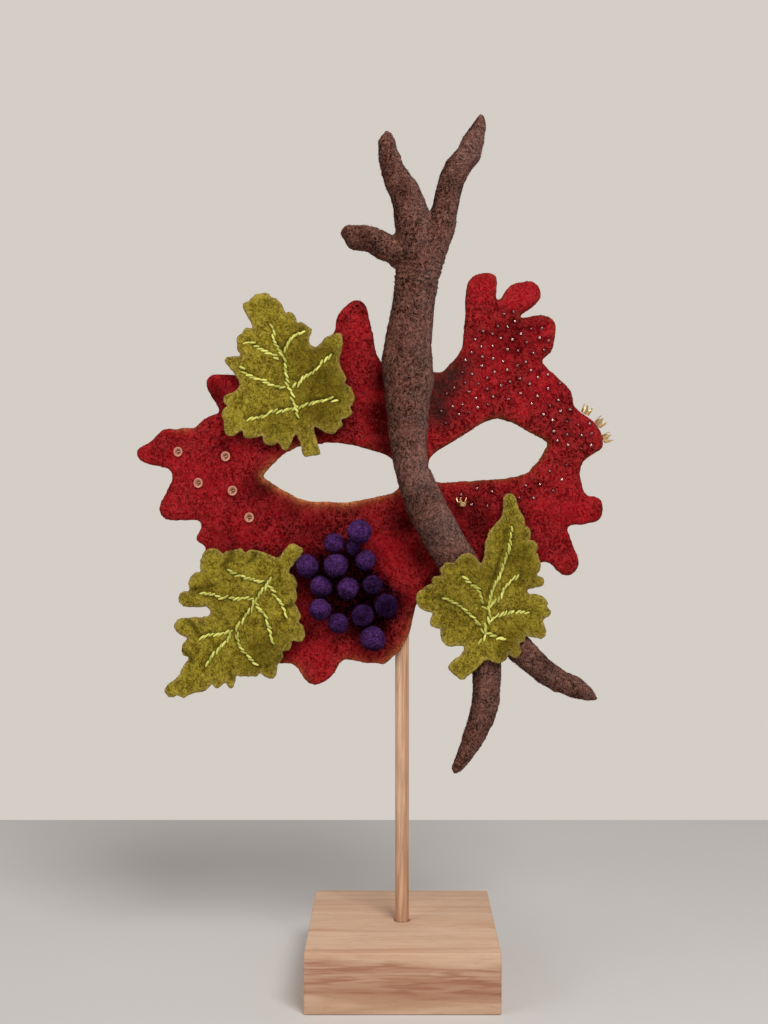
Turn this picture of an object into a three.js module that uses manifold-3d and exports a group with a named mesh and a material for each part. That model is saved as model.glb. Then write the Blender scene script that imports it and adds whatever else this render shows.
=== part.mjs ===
// A felt masquerade mask on a wooden stand: a face cut like an oak leaf, with a felted tree over the nose,
// three vine leaves, a bunch of grapes, cup sequins and small metal crowns.
// Millimetres, +Z up. The face looks along -Y, and the origin is the middle of the stand's underside.
import * as THREE from 'three';
import { mergeVertices } from 'three/addons/utils/BufferGeometryUtils.js';
import Module from 'manifold-3d';

const wasm = await Module();
wasm.setup();

// Stand
const BASE_SIDE = 80;
const BASE_HEIGHT = 25;
const BASE_CHAMFER = 0.8;
const DOWEL_DIAMETER = 6;
const DOWEL_BARE_LENGTH = 103; // from the block up to the lowest lobe of the mask
const SOCKET_DEPTH = 15;
const GAP = 0.3; // between two pieces that touch

// Face of the mask
const MASK_WIDTH = 208;
const MASK_HEIGHT = 179;
const MASK_FELT = 3;
const SIDE_SWEEP = 18; // how far back the face bends at half its width from the dowel
const BROW_SWEEP = 8; // how far back its top leans
const NOSE_RISE = 7; // of the nose bridge before the face
const NOSE_WIDTH = 52;
const NOSE_HEIGHT = 46;
const LEFT_EYE = { width: 60, height: 25.8 };
const RIGHT_EYE = { width: 52.5, height: 27.9 };

// Strip behind the face that holds the dowel
const SLEEVE_WIDTH = 28;
const SLEEVE_HEIGHT = 16;
const SLEEVE_FELT = 2;

// Tree, leaves and grapes
const TRUNK_WIDTH = 22.4;
const LEAF_FELT = 2;
const LEAF_CURL = 3; // how far a leaf's rim lifts
const DRAPE_REACH = 3; // how far a leaf over the tree is lifted on each side of a limb, in half widths
const NICK_ROUND = 0.007; // radius at the bottom of a nick, as a share of the outline's height
const UPPER_LEFT_LEAF = { width: 58.4, height: 72 };
const LOWER_LEFT_LEAF = { width: 63.3, height: 68.6 };
const LOWER_RIGHT_LEAF = { width: 59.2, height: 79 };
const GRAPE_DIAMETER = 10.6; // of the largest one

// Trims
const SEQUIN_DIAMETER = 4.2;
const SEQUIN_HOLE = 1;
const SEQUIN_THICKNESS = 0.25;
const SEQUIN_CUP = 0.5; // how far the rim stands before the middle
const CROWN_DIAMETER = 4.3;
const CROWN_HEIGHT = 3.8;
const CROWN_BAND = 1.5; // height of the band below the prongs
const CROWN_WALL = 0.5;
const CROWN_PRONGS = 5;
const RIM_SEARCH = 3; // a crown's rim is looked for within this many of its diameters

// Steps of the meshes
const FACE_STEP = 8;
const LEAF_STEP = 6;
const ARC_STEP = THREE.MathUtils.degToRad(36);
const LIMB_SIDES = 12;
const GRAPE_SIDES = 12;
const ROUND_SIDES = 16;
const SEQUIN_SIDES = 12;
const WELD = 0.02;
const SHORTEST_EDGE = 0.5;
const FAR = 100; // reach of a cutting tool past what it cuts
const EIGHTH_TURN = Math.tan(Math.PI / 8);
const SLOPE_STEP = 0.5; // half the distance over which the face's slope is measured
const NICK_CLEAR = 1.02; // a nick's round stays this many radii from its neighbours
const NICK_TRIM = 0.93; // a nick that is too deep is tried again at this share of its depth

// Places that follow from the sizes
const MASK_FOOT = BASE_HEIGHT + DOWEL_BARE_LENGTH;
const FACE_Y = -(DOWEL_DIAMETER / 2 + GAP + MASK_FELT);
const NOSE = { x: 0.024, z: 0.48 }; // shares of the mask's width and height
const NOSE_FOOT = MASK_FOOT + NOSE.z * MASK_HEIGHT - NOSE_HEIGHT / 2;
const DOWEL_TOP = NOSE_FOOT - 1;
const SLEEVE_TOP = DOWEL_TOP - 2;
const BROW_START = 0.62;

const named = (columns, row) => Object.fromEntries(columns.map((name, i) => [name, row[i]]));
const rows = (columns, table) => table.map((row) => named(columns, row));

// An outline is a belt round circles, listed clockwise as seen from the front. x is a share of the piece's
// width, z and r are shares of its height. A bay has a negative radius: the belt passes on its inner side.
// nick is the depth of the small notch between a circle and the next one.
const BELT = ['x', 'z', 'r', 'nick'];

const FACE_OUTLINE = {
  ratio: 1.162, // width to height, as drawn
  circles: rows(BELT, [
    // left ear and shoulder
    [-0.545, 0.556, 0.025, 0], [-0.472, 0.554, 0.069, 0], [-0.446, 0.636, -0.015, 0],
    [-0.395, 0.616, 0.039, 0], [-0.391, 0.664, -0.007, 0],
    // small ear, brow behind the leaf, left plume
    [-0.395, 0.729, 0.025, 0], [-0.349, 0.718, 0.032, 0], [-0.245, 0.804, -0.063, 0],
    [-0.1, 0.896, 0.034, 0],
    // bay that the tree stands in
    [-0.023, 0.802, -0.034, 0], [0.079, 0.763, -0.01, 0], [0.086, 0.827, -0.048, 0],
    // fingers on the right
    [0.17, 0.959, 0.041, 0], [0.185, 0.985, 0.017, 0], [0.207, 0.948, -0.007, 0],
    [0.249, 0.941, 0.039, 0], [0.268, 0.952, 0.032, 0], [0.251, 0.895, -0.005, 0],
    [0.288, 0.857, 0.042, 0], [0.303, 0.868, 0.027, 0], [0.292, 0.825, 0.032, 0],
    // right shoulder and ear
    [0.304, 0.783, -0.012, 0], [0.323, 0.691, 0.044, 0], [0.371, 0.677, -0.01, 0],
    [0.368, 0.589, 0.066, 0], [0.412, 0.582, 0.018, 0],
    // right bay, thumb and foot
    [0.412, 0.513, -0.042, 0], [0.401, 0.476, -0.022, 0], [0.406, 0.429, 0.025, 0],
    [0.401, 0.415, 0.029, 0], [0.355, 0.373, -0.01, 0], [0.347, 0.291, 0.032, 0],
    // right cheek and the bay under the nose, behind the lower right leaf
    [0.299, 0.272, -0.022, 0], [0.225, 0.275, 0.048, 0], [0.078, 0.18, -0.058, 0],
    // left cheek, chin and jaw
    [-0.062, 0.14, 0.09, 0], [-0.114, 0.037, -0.022, 0], [-0.175, 0.047, 0.046, 0],
    [-0.238, 0.019, -0.029, 0], [-0.293, 0.104, 0.058, 0], [-0.395, 0.16, -0.039, 0],
    // jaw corner, nub and fang
    [-0.395, 0.295, 0.034, 0], [-0.423, 0.325, -0.009, 0], [-0.422, 0.351, 0.014, 0],
    [-0.43, 0.387, -0.007, 0], [-0.495, 0.421, 0.03, 0], [-0.509, 0.501, -0.022, 0],
  ]),
};

const LEFT_EYE_OUTLINE = {
  ratio: 2.326,
  circles: rows(BELT, [
    [-0.478, -0.065, 0.051, 0], [-0.221, 0.035, 0.385, 0], [0.033, -0.25, 0.752, 0],
    [0.343, -0.034, 0.349, 0], [0.415, -0.167, 0.199, 0], [0.105, 0.251, 0.751, 0],
    [-0.148, 0.034, 0.519, 0],
  ]),
};

const RIGHT_EYE_OUTLINE = {
  ratio: 1.882,
  circles: rows(BELT, [
    [0.088, 0.042, 0.458, 0], [0.475, 0.108, 0.047, 0], [0.18, 0.105, 0.528, 0],
    [-0.402, -0.316, 0.185, 0], [-0.352, -0.239, 0.27, 0],
  ]),
};

const UPPER_LEFT_LEAF_OUTLINE = {
  ratio: 0.811,
  circles: rows(BELT, [
    // stem and lower lobes
    [0.141, -0.482, 0.018, 0], [0.065, -0.386, -0.015, 0], [-0.02, -0.431, 0.033, 0.018],
    [-0.129, -0.397, 0.036, 0.024], [-0.285, -0.339, 0.048, 0.024], [-0.426, -0.338, 0.039, 0.009],
    [-0.454, -0.232, 0.036, 0.009], [-0.435, -0.15, 0.036, 0],
    // left side
    [-0.416, -0.062, -0.042, 0], [-0.453, 0.085, 0.016, 0], [-0.415, 0.136, -0.027, 0],
    [-0.343, 0.212, 0.033, 0.009], [-0.302, 0.257, 0.032, 0], [-0.311, 0.313, -0.019, 0],
    // top lobe
    [-0.327, 0.417, 0.016, 0.009], [-0.226, 0.451, 0.04, 0], [-0.18, 0.462, 0.036, 0.009],
    [-0.118, 0.417, 0.048, 0.012], [0.012, 0.334, 0.036, 0.012], [0.164, 0.274, 0.014, 0],
    // right side
    [0.206, 0.2, -0.039, 0], [0.291, 0.196, 0.024, 0], [0.373, 0.213, 0.027, 0],
    [0.377, 0.171, 0.027, 0], [0.455, 0.068, -0.057, 0], [0.437, -0.143, 0.051, 0.009],
    [0.449, -0.22, 0.039, 0.009], [0.39, -0.298, 0.03, 0.007], [0.33, -0.327, 0.039, 0],
    [0.234, -0.36, -0.021, 0], [0.227, -0.476, 0.018, 0],
  ]),
};

const LOWER_LEFT_LEAF_OUTLINE = {
  ratio: 0.923,
  circles: rows(BELT, [
    // stem and right side
    [0.455, 0.45, 0.028, 0], [0.404, 0.321, -0.018, 0], [0.379, 0.242, 0.063, 0.013],
    [0.393, 0.141, 0.054, 0.013], [0.414, 0.022, 0.057, 0], [0.442, -0.069, 0.053, 0.019],
    [0.345, -0.137, 0.05, 0], [0.296, -0.188, 0.06, 0], [0.334, -0.279, -0.026, 0],
    // lower side
    [0.265, -0.325, 0.03, 0], [0.065, -0.391, -0.044, 0], [-0.027, -0.407, 0.023, 0.019],
    [-0.105, -0.384, 0.041, 0.013], [-0.228, -0.392, 0.058, 0.01], [-0.359, -0.469, 0.026, 0.016],
    [-0.451, -0.457, 0.043, 0],
    // left side
    [-0.425, -0.353, -0.028, 0], [-0.359, -0.263, -0.014, 0], [-0.308, -0.194, 0.064, 0],
    [-0.362, -0.119, -0.013, 0], [-0.377, -0.045, 0.05, 0], [-0.271, -0.003, 0.019, 0],
    [-0.202, 0.053, -0.032, 0], [-0.337, 0.136, 0.058, 0.022], [-0.249, 0.225, 0.074, 0.022],
    // upper side
    [-0.152, 0.393, 0.07, 0.019], [0.079, 0.351, 0.114, 0], [0.199, 0.378, 0.063, 0],
    [0.3, 0.433, -0.028, 0], [0.411, 0.472, 0.028, 0],
  ]),
};

const LOWER_RIGHT_LEAF_OUTLINE = {
  ratio: 0.749,
  circles: rows(BELT, [
    // stem and left side
    [-0.231, -0.44, 0.022, 0], [-0.169, -0.341, -0.019, 0], [-0.245, -0.284, 0.046, 0.013],
    [-0.339, -0.193, 0.043, 0], [-0.425, -0.163, -0.021, 0], [-0.418, -0.074, 0.062, 0.011],
    [-0.367, -0.015, 0.051, 0.011], [-0.245, 0.081, 0.059, 0.013], [-0.133, 0.14, 0.046, 0],
    // top lobe
    [-0.034, 0.169, -0.024, 0], [0.051, 0.204, 0.043, 0.006], [0.08, 0.279, 0.038, 0],
    [0.066, 0.392, -0.051, 0], [0.183, 0.462, 0.038, 0], [0.318, 0.416, -0.043, 0],
    [0.271, 0.34, 0.032, 0.008], [0.307, 0.272, 0.035, 0.008], [0.352, 0.196, 0.041, 0.011],
    // right side
    [0.381, 0.104, 0.027, 0.011], [0.403, 0.017, 0.033, 0], [0.337, -0.038, -0.013, 0],
    [0.4, -0.1, 0.046, 0.005], [0.44, -0.135, 0.043, 0.011], [0.407, -0.195, 0.038, 0.011],
    [0.418, -0.26, 0.027, 0],
    // lower side
    [0.322, -0.323, -0.038, 0], [0.208, -0.343, 0.038, 0.005], [0.095, -0.363, 0.049, 0],
    [0.011, -0.405, -0.016, 0], [-0.166, -0.479, 0.022, 0],
  ]),
};

// Middles of the eyes and leaves, as shares of the mask's width and height
const PLACES = {
  leftEye: { x: -0.149, z: 0.512 },
  rightEye: { x: 0.179, z: 0.564 },
  upperLeftLeaf: { x: -0.238, z: 0.75 },
  lowerLeftLeaf: { x: -0.352, z: 0.15 },
  lowerRightLeaf: { x: 0.169, z: 0.241 },
};

// Stations of the tree, from one end of each limb to the other. x and z are shares of the mask's width and
// height, wide is the station's width as a share of the trunk's, and deep is its depth as a share of that.
const STATION = ['x', 'z', 'wide', 'deep'];
const TRUNK = rows(STATION, [
  [0.046, 1.025, 0.64, 0.9], [0.029, 0.966, 0.85, 0.9], [0.024, 0.918, 0.81, 0.9],
  [0.018, 0.871, 0.85, 0.9], [0.012, 0.824, 0.89, 0.9], [0.01, 0.777, 0.98, 0.85],
  [0.014, 0.729, 0.97, 0.8], [0.011, 0.677, 0.84, 0.85], [0.012, 0.623, 0.76, 0.9],
  [0.013, 0.571, 0.69, 0.9], [0.018, 0.519, 0.64, 0.9], [0.036, 0.465, 0.72, 0.85],
  [0.056, 0.413, 0.76, 0.8], [0.081, 0.361, 0.76, 0.75], [0.103, 0.318, 0.76, 0.7],
  [0.134, 0.261, 0.72, 0.65], [0.16, 0.202, 0.64, 0.65], [0.189, 0.134, 0.57, 0.7],
]);
const LEFT_TWIG = rows(STATION, [
  [-0.125, 1.078, 0, 1], [-0.107, 1.078, 0.36, 1], [-0.087, 1.074, 0.48, 1],
  [-0.062, 1.067, 0.5, 1], [-0.035, 1.05, 0.52, 1], [-0.004, 1.031, 0.57, 0.95],
  [0.02, 1, 0.57, 0.9],
]);
const MIDDLE_TWIG = rows(STATION, [
  [-0.032, 1.317, 0, 1], [-0.032, 1.297, 0.28, 1], [-0.027, 1.268, 0.43, 1],
  [-0.021, 1.237, 0.45, 1], [-0.009, 1.207, 0.53, 1], [0.006, 1.178, 0.6, 1],
  [0.016, 1.143, 0.64, 1], [0.022, 1.103, 0.7, 0.95], [0.03, 1.048, 0.72, 0.9],
  [0.032, 0.989, 0.72, 0.9],
]);
const RIGHT_TWIG = rows(STATION, [
  [0.16, 1.355, 0, 1], [0.158, 1.339, 0.23, 1], [0.148, 1.308, 0.42, 1],
  [0.138, 1.273, 0.47, 1], [0.115, 1.242, 0.51, 1], [0.101, 1.207, 0.49, 1],
  [0.093, 1.171, 0.49, 1], [0.087, 1.136, 0.51, 1], [0.079, 1.096, 0.57, 1],
  [0.062, 1.048, 0.6, 0.95], [0.044, 0.994, 0.68, 0.9],
]);
const RIGHT_ROOT = rows(STATION, [
  [0.193, 0.143, 0.49, 0.75], [0.215, 0.115, 0.53, 0.8], [0.235, 0.096, 0.55, 0.85],
  [0.264, 0.065, 0.51, 0.95], [0.294, 0.034, 0.49, 1], [0.325, 0.011, 0.45, 1],
  [0.355, -0.003, 0.42, 1], [0.378, -0.015, 0.28, 1], [0.396, -0.026, 0, 1],
]);
const DOWN_ROOT = rows(STATION, [
  [0.178, 0.15, 0.49, 0.75], [0.174, 0.115, 0.53, 0.8], [0.172, 0.079, 0.55, 0.85],
  [0.174, 0.032, 0.57, 0.95], [0.174, -0.003, 0.55, 1], [0.172, -0.039, 0.51, 1],
  [0.162, -0.079, 0.49, 1], [0.148, -0.121, 0.43, 1], [0.13, -0.162, 0.32, 1],
  [0.113, -0.188, 0.21, 1], [0.109, -0.199, 0, 1],
]);
const TREE_SEAT = { x: 0.19, z: 0.77 }; // beyond this share of the mask the tree keeps its depth
const TREE_SINK = 0.85; // share of a limb's half depth that its axis stands off the face
const TIP_WIDTH = 0.42; // a thinner end keeps the axis of this width

// Grapes, the hindmost first: place as shares of the mask, size as a share of the largest
const GRAPES = rows(['x', 'z', 'size'], [
  [-0.101, 0.334, 0.69], [-0.138, 0.343, 0.81], [-0.074, 0.302, 0.81], [-0.133, 0.289, 0.97],
  [-0.193, 0.287, 0.93], [-0.085, 0.371, 1], [-0.164, 0.238, 0.89], [-0.11, 0.234, 0.89],
  [-0.06, 0.242, 0.81], [-0.166, 0.185, 0.89], [-0.032, 0.195, 0.93], [-0.08, 0.17, 0.89],
  [-0.129, 0.15, 0.85], [-0.059, 0.115, 1],
]);

const SEQUINS = rows(['x', 'z'], [
  [-0.475, 0.563], [-0.37, 0.551], [-0.43, 0.486], [-0.355, 0.467], [-0.319, 0.402],
]);

// Crowns on the rim of the right ear: the way each one points, in degrees from straight up to the right
const EDGE_CROWNS = rows(['x', 'z', 'turn'], [
  [0.386, 0.655, 29], [0.412, 0.627, 52], [0.428, 0.594, 71],
]);
const FACE_CROWN = { x: 0.12, z: 0.431 };

// Solids and meshes

function solidOf(positions, triangles) {
  const geometry = new THREE.BufferGeometry();
  geometry.setAttribute('position', new THREE.Float32BufferAttribute(positions, 3));
  geometry.setIndex(triangles);
  return solidOfGeometry(geometry);
}

function solidOfGeometry(source) {
  const geometry = source.clone();
  geometry.deleteAttribute('normal');
  geometry.deleteAttribute('uv');
  const merged = mergeVertices(geometry, 1e-4);
  const mesh = new wasm.Mesh({
    numProp: 3,
    vertProperties: Float32Array.from(merged.attributes.position.array),
    triVerts: Uint32Array.from(merged.index.array),
  });
  return new wasm.Manifold(mesh);
}

// The mesh of a solid. Corners closer than WELD become one. A triangle that shrinks to nothing goes, and so
// do two that then lie back to back.
function geometryOf(solid) {
  const mesh = solid.getMesh();
  const geometry = new THREE.BufferGeometry();
  geometry.setAttribute('position', new THREE.Float32BufferAttribute(mesh.vertProperties, 3));
  geometry.setIndex(new THREE.Uint32BufferAttribute(mesh.triVerts, 1));
  const welded = mergeVertices(geometry, WELD);
  const kept = new Map();
  for (let i = 0; i < welded.index.count; i += 3) {
    const corners = [0, 1, 2].map((k) => welded.index.getX(i + k));
    const key = [...corners].sort((a, b) => a - b).join();
    if (new Set(corners).size < 3) continue;
    if (kept.has(key)) kept.delete(key);
    else kept.set(key, corners);
  }
  welded.setIndex([...kept.values()].flat());
  return welded;
}

// The small bay that cuts a nick between two circles, both given counter-clockwise
function nickBetween(a, b, depth, round) {
  const distance = Math.hypot(b.x - a.x, b.z - a.z);
  const angle = Math.atan2(b.z - a.z, b.x - a.x) + Math.asin((a.r - b.r) / distance);
  const out = { x: Math.sin(angle), z: -Math.cos(angle) };
  const middle = {
    x: (a.x + a.r * out.x + b.x + b.r * out.x) / 2,
    z: (a.z + a.r * out.z + b.z + b.r * out.z) / 2,
  };
  const away = (bay, c) => Math.hypot(bay.x - c.x, bay.z - c.z);
  const clear = (bay) => [a, b].every((c) => away(bay, c) > (c.r + round) * NICK_CLEAR);
  let bay;
  for (let reach = depth; !bay || !clear(bay); reach *= NICK_TRIM) {
    bay = { x: middle.x + out.x * (round - reach), z: middle.z + out.z * (round - reach), r: -round };
  }
  return bay;
}

// Points of the belt round an outline's circles, grown outwards by a share of the height
function belt(outline, growth) {
  const ring = outline.circles
    .map(({ x, z, r, nick }) => ({ x: x * outline.ratio, z, r: r + growth, nick }))
    .reverse();
  const circles = [];
  ring.forEach((circle, i) => {
    const next = ring[(i + 1) % ring.length];
    circles.push(circle);
    const round = NICK_ROUND - growth;
    if (next.nick > 0 && round > 0) circles.push(nickBetween(circle, next, next.nick, round));
  });
  const headings = circles.map((a, i) => {
    const b = circles[(i + 1) % circles.length];
    return Math.atan2(b.z - a.z, b.x - a.x) + Math.asin((a.r - b.r) / Math.hypot(b.x - a.x, b.z - a.z));
  });
  const points = [];
  circles.forEach((circle, i) => {
    const from = headings.at(i - 1);
    const turn = circle.r > 0
      ? THREE.MathUtils.euclideanModulo(headings[i] - from, 2 * Math.PI)
      : -THREE.MathUtils.euclideanModulo(from - headings[i], 2 * Math.PI);
    const steps = Math.max(1, Math.ceil(Math.abs(turn) / ARC_STEP));
    for (let k = 0; k <= steps; k += 1) {
      const angle = from + (turn * k) / steps;
      points.push({
        x: (circle.x + circle.r * Math.sin(angle)) / outline.ratio,
        z: circle.z - circle.r * Math.cos(angle),
      });
    }
  });
  return points;
}

// An outline's points in millimetres. growth is in millimetres too.
function outlinePoints(outline, size, place, growth = 0) {
  const points = belt(outline, growth / size.height).map((p) => new THREE.Vector2(
    place.x * MASK_WIDTH + p.x * size.width,
    MASK_FOOT + place.z * MASK_HEIGHT + p.z * size.height,
  ));
  return points.filter((p, i) => p.distanceTo(points.at(i - 1)) > SHORTEST_EDGE);
}

// A straight cutter along Y with the given outline
function cutter(points) {
  const shape = new THREE.Shape(points);
  const geometry = new THREE.ExtrudeGeometry(shape, { depth: 2 * FAR, bevelEnabled: false });
  geometry.rotateX(Math.PI / 2);
  geometry.translate(0, FAR, 0);
  return solidOfGeometry(geometry);
}

// A curved slab over a rectangle, between the surfaces y = front(x, z) and y = back(x, z)
function slab(points, step, front, back) {
  const box = new THREE.Box2().setFromPoints(points).expandByScalar(1);
  const columns = Math.ceil((box.max.x - box.min.x) / step);
  const levels = Math.ceil((box.max.y - box.min.y) / step);
  const positions = [];
  [front, back].forEach((surface) => {
    for (let j = 0; j <= levels; j += 1) {
      for (let i = 0; i <= columns; i += 1) {
        const x = THREE.MathUtils.lerp(box.min.x, box.max.x, i / columns);
        const z = THREE.MathUtils.lerp(box.min.y, box.max.y, j / levels);
        positions.push(x, surface(x, z), z);
      }
    }
  });
  const rowLength = columns + 1;
  const behind = rowLength * (levels + 1);
  const triangles = [];
  const quad = (a, b, c, d) => triangles.push(a, b, c, a, c, d);
  for (let j = 0; j < levels; j += 1) {
    for (let i = 0; i < columns; i += 1) {
      const a = j * rowLength + i;
      quad(a, a + 1, a + 1 + rowLength, a + rowLength);
      quad(behind + a, behind + a + rowLength, behind + a + 1 + rowLength, behind + a + 1);
    }
  }
  for (let i = 0; i < columns; i += 1) {
    const top = levels * rowLength + i;
    quad(i + 1, i, behind + i, behind + i + 1);
    quad(top, top + 1, behind + top + 1, behind + top);
  }
  for (let j = 0; j < levels; j += 1) {
    const left = j * rowLength;
    const right = left + columns;
    quad(left, left + rowLength, behind + left + rowLength, behind + left);
    quad(right + rowLength, right, behind + right, behind + right + rowLength);
  }
  return solidOf(positions, triangles);
}

// Face of the mask

const hill = (u) => (Math.abs(u) < 1 ? (1 + Math.cos(Math.PI * u)) / 2 : 0);

function faceFront(x, z) {
  const side = x / (MASK_WIDTH / 2);
  const height = THREE.MathUtils.clamp((z - MASK_FOOT) / MASK_HEIGHT, 0, 1);
  const brow = Math.max(0, height - BROW_START) / (1 - BROW_START);
  const nose = hill((x - NOSE.x * MASK_WIDTH) / (NOSE_WIDTH / 2))
    * hill((z - MASK_FOOT - NOSE.z * MASK_HEIGHT) / (NOSE_HEIGHT / 2));
  return FACE_Y + SIDE_SWEEP * side ** 2 + BROW_SWEEP * brow ** 2 - NOSE_RISE * nose;
}

const MASK_SIZE = { width: MASK_WIDTH, height: MASK_HEIGHT };
const MASK_PLACE = { x: 0, z: 0 };

function maskSolid() {
  const points = outlinePoints(FACE_OUTLINE, MASK_SIZE, MASK_PLACE);
  const sheet = slab(points, FACE_STEP, faceFront, (x, z) => faceFront(x, z) + MASK_FELT);
  return sheet.intersect(cutter(points))
    .subtract(cutter(outlinePoints(LEFT_EYE_OUTLINE, LEFT_EYE, PLACES.leftEye)))
    .subtract(cutter(outlinePoints(RIGHT_EYE_OUTLINE, RIGHT_EYE, PLACES.rightEye)));
}

// Where a small piece sits on the face: the point that far in front of it, and the way the face looks there
function onFace(share, away) {
  const x = share.x * MASK_WIDTH;
  const z = MASK_FOOT + share.z * MASK_HEIGHT;
  const d = SLOPE_STEP;
  const normal = new THREE.Vector3(
    (faceFront(x + d, z) - faceFront(x - d, z)) / (2 * d),
    -1,
    (faceFront(x, z + d) - faceFront(x, z - d)) / (2 * d),
  ).normalize();
  return { point: new THREE.Vector3(x, faceFront(x, z), z).addScaledVector(normal, away), normal };
}

// Tree

function place(station) {
  const halfDepth = (TRUNK_WIDTH / 2) * station.wide * station.deep;
  const standOff = TREE_SINK * Math.max(halfDepth, (TRUNK_WIDTH / 2) * TIP_WIDTH);
  const seatX = Math.min(station.x, TREE_SEAT.x) * MASK_WIDTH;
  const seatZ = MASK_FOOT + Math.min(station.z, TREE_SEAT.z) * MASK_HEIGHT;
  return {
    centre: new THREE.Vector3(
      station.x * MASK_WIDTH, faceFront(seatX, seatZ) - GAP - standOff, MASK_FOOT + station.z * MASK_HEIGHT,
    ),
    halfWidth: (TRUNK_WIDTH / 2) * station.wide,
    halfDepth,
    height: standOff + halfDepth, // of its front over the face
  };
}

function limbSolid(stations) {
  const placed = stations.map(place);
  const positions = [];
  const rings = placed.map(({ centre, halfWidth, halfDepth }, i) => {
    const before = placed[Math.max(0, i - 1)].centre;
    const after = placed[Math.min(placed.length - 1, i + 1)].centre;
    const along = after.clone().sub(before).normalize();
    const across = new THREE.Vector3(along.z, 0, -along.x).normalize();
    const start = positions.length / 3;
    if (halfWidth === 0) {
      positions.push(...centre.toArray());
      return { start, count: 1 };
    }
    for (let k = 0; k < LIMB_SIDES; k += 1) {
      const angle = (2 * Math.PI * k) / LIMB_SIDES;
      const point = centre.clone().addScaledVector(across, halfWidth * Math.cos(angle));
      point.y += halfDepth * Math.sin(angle);
      positions.push(...point.toArray());
    }
    return { start, count: LIMB_SIDES };
  });
  const triangles = [];
  const fan = (tip, ring, flip) => {
    for (let k = 0; k < LIMB_SIDES; k += 1) {
      const pair = [ring.start + k, ring.start + ((k + 1) % LIMB_SIDES)];
      triangles.push(tip, ...(flip ? pair.reverse() : pair));
    }
  };
  const cap = (ring, i, flip) => {
    positions.push(...placed[i].centre.toArray());
    fan(positions.length / 3 - 1, ring, flip);
  };
  for (let i = 0; i + 1 < rings.length; i += 1) {
    const [a, b] = [rings[i], rings[i + 1]];
    if (a.count === 1) fan(a.start, b, false);
    else if (b.count === 1) fan(b.start, a, true);
    else {
      for (let k = 0; k < LIMB_SIDES; k += 1) {
        const n = (k + 1) % LIMB_SIDES;
        triangles.push(a.start + k, b.start + k, b.start + n, a.start + k, b.start + n, a.start + n);
      }
    }
  }
  if (rings[0].count > 1) cap(rings[0], 0, false);
  if (rings.at(-1).count > 1) cap(rings.at(-1), rings.length - 1, true);
  const solid = solidOf(positions, triangles);
  if (solid.volume() > 0) return solid;
  return solidOf(positions, triangles.reverse());
}

const LIMBS = [TRUNK, LEFT_TWIG, MIDDLE_TWIG, RIGHT_TWIG, RIGHT_ROOT, DOWN_ROOT];

// Everything before the given surface, inside an outline
function spaceBefore(points, step, surface) {
  return slab(points, step, () => -FAR, surface).intersect(cutter(points));
}

function treeSolid() {
  const tree = LIMBS.map(limbSolid).reduce((whole, limb) => whole.add(limb));
  const rim = outlinePoints(FACE_OUTLINE, MASK_SIZE, MASK_PLACE, GAP);
  const behindFace = slab(rim, FACE_STEP, (x, z) => faceFront(x, z) - GAP, () => FAR).intersect(cutter(rim));
  const cover = outlinePoints(LOWER_RIGHT_LEAF_OUTLINE, LOWER_RIGHT_LEAF, PLACES.lowerRightLeaf, GAP);
  const overLeaf = spaceBefore(cover, LEAF_STEP, (x, z) => lowerRightLeafBack(x, z) + GAP);
  return tree.subtract(behindFace).subtract(overLeaf);
}

// Leaves

// Height of a sheet laid over the tree at a point: full over an axis, gone at DRAPE_REACH half widths from it
function drape(x, z) {
  let height = 0;
  [TRUNK, RIGHT_ROOT, DOWN_ROOT].forEach((limb) => {
    const placed = limb.map(place);
    for (let i = 0; i + 1 < placed.length; i += 1) {
      const [a, b] = [placed[i], placed[i + 1]];
      const dx = b.centre.x - a.centre.x;
      const dz = b.centre.z - a.centre.z;
      const t = THREE.MathUtils.clamp(
        ((x - a.centre.x) * dx + (z - a.centre.z) * dz) / (dx * dx + dz * dz), 0, 1,
      );
      const away = Math.hypot(x - a.centre.x - t * dx, z - a.centre.z - t * dz);
      const reach = DRAPE_REACH * THREE.MathUtils.lerp(a.halfWidth, b.halfWidth, t);
      const top = GAP + THREE.MathUtils.lerp(a.height, b.height, t);
      height = Math.max(height, top * hill(away / Math.max(reach, GAP)));
    }
  });
  return height;
}

// How far a leaf's rim lifts, from its middle outwards
function curl(x, z, size, middle) {
  const u = (x - middle.x * MASK_WIDTH) / (size.width / 2);
  const v = (z - MASK_FOOT - middle.z * MASK_HEIGHT) / (size.height / 2);
  return LEAF_CURL * Math.min(1, u * u + v * v) ** 2;
}

const leafBack = (size, middle) => (x, z) => faceFront(x, z) - GAP - curl(x, z, size, middle);
const upperLeftLeafBack = leafBack(UPPER_LEFT_LEAF, PLACES.upperLeftLeaf);
const lowerLeftLeafBack = leafBack(LOWER_LEFT_LEAF, PLACES.lowerLeftLeaf);
function lowerRightLeafBack(x, z) {
  return leafBack(LOWER_RIGHT_LEAF, PLACES.lowerRightLeaf)(x, z) - drape(x, z);
}

function leafSolid(outline, size, middle, back) {
  const points = outlinePoints(outline, size, middle);
  return slab(points, LEAF_STEP, (x, z) => back(x, z) - LEAF_FELT, back).intersect(cutter(points));
}

// Grapes

// Each grape rests on the face, or on the ones behind it where they are in its way
function settledGrapes() {
  const settled = [];
  GRAPES.forEach((row) => {
    const radius = (GRAPE_DIAMETER / 2) * row.size;
    const centre = onFace(row, radius + GAP).point;
    settled.forEach((other) => {
      const reach = radius + other.radius + GAP;
      const aside = (centre.x - other.centre.x) ** 2 + (centre.z - other.centre.z) ** 2;
      if (aside < reach * reach) {
        centre.y = Math.min(centre.y, other.centre.y - Math.sqrt(reach * reach - aside));
      }
    });
    settled.push({ centre, radius });
  });
  return settled;
}

// Trims

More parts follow.
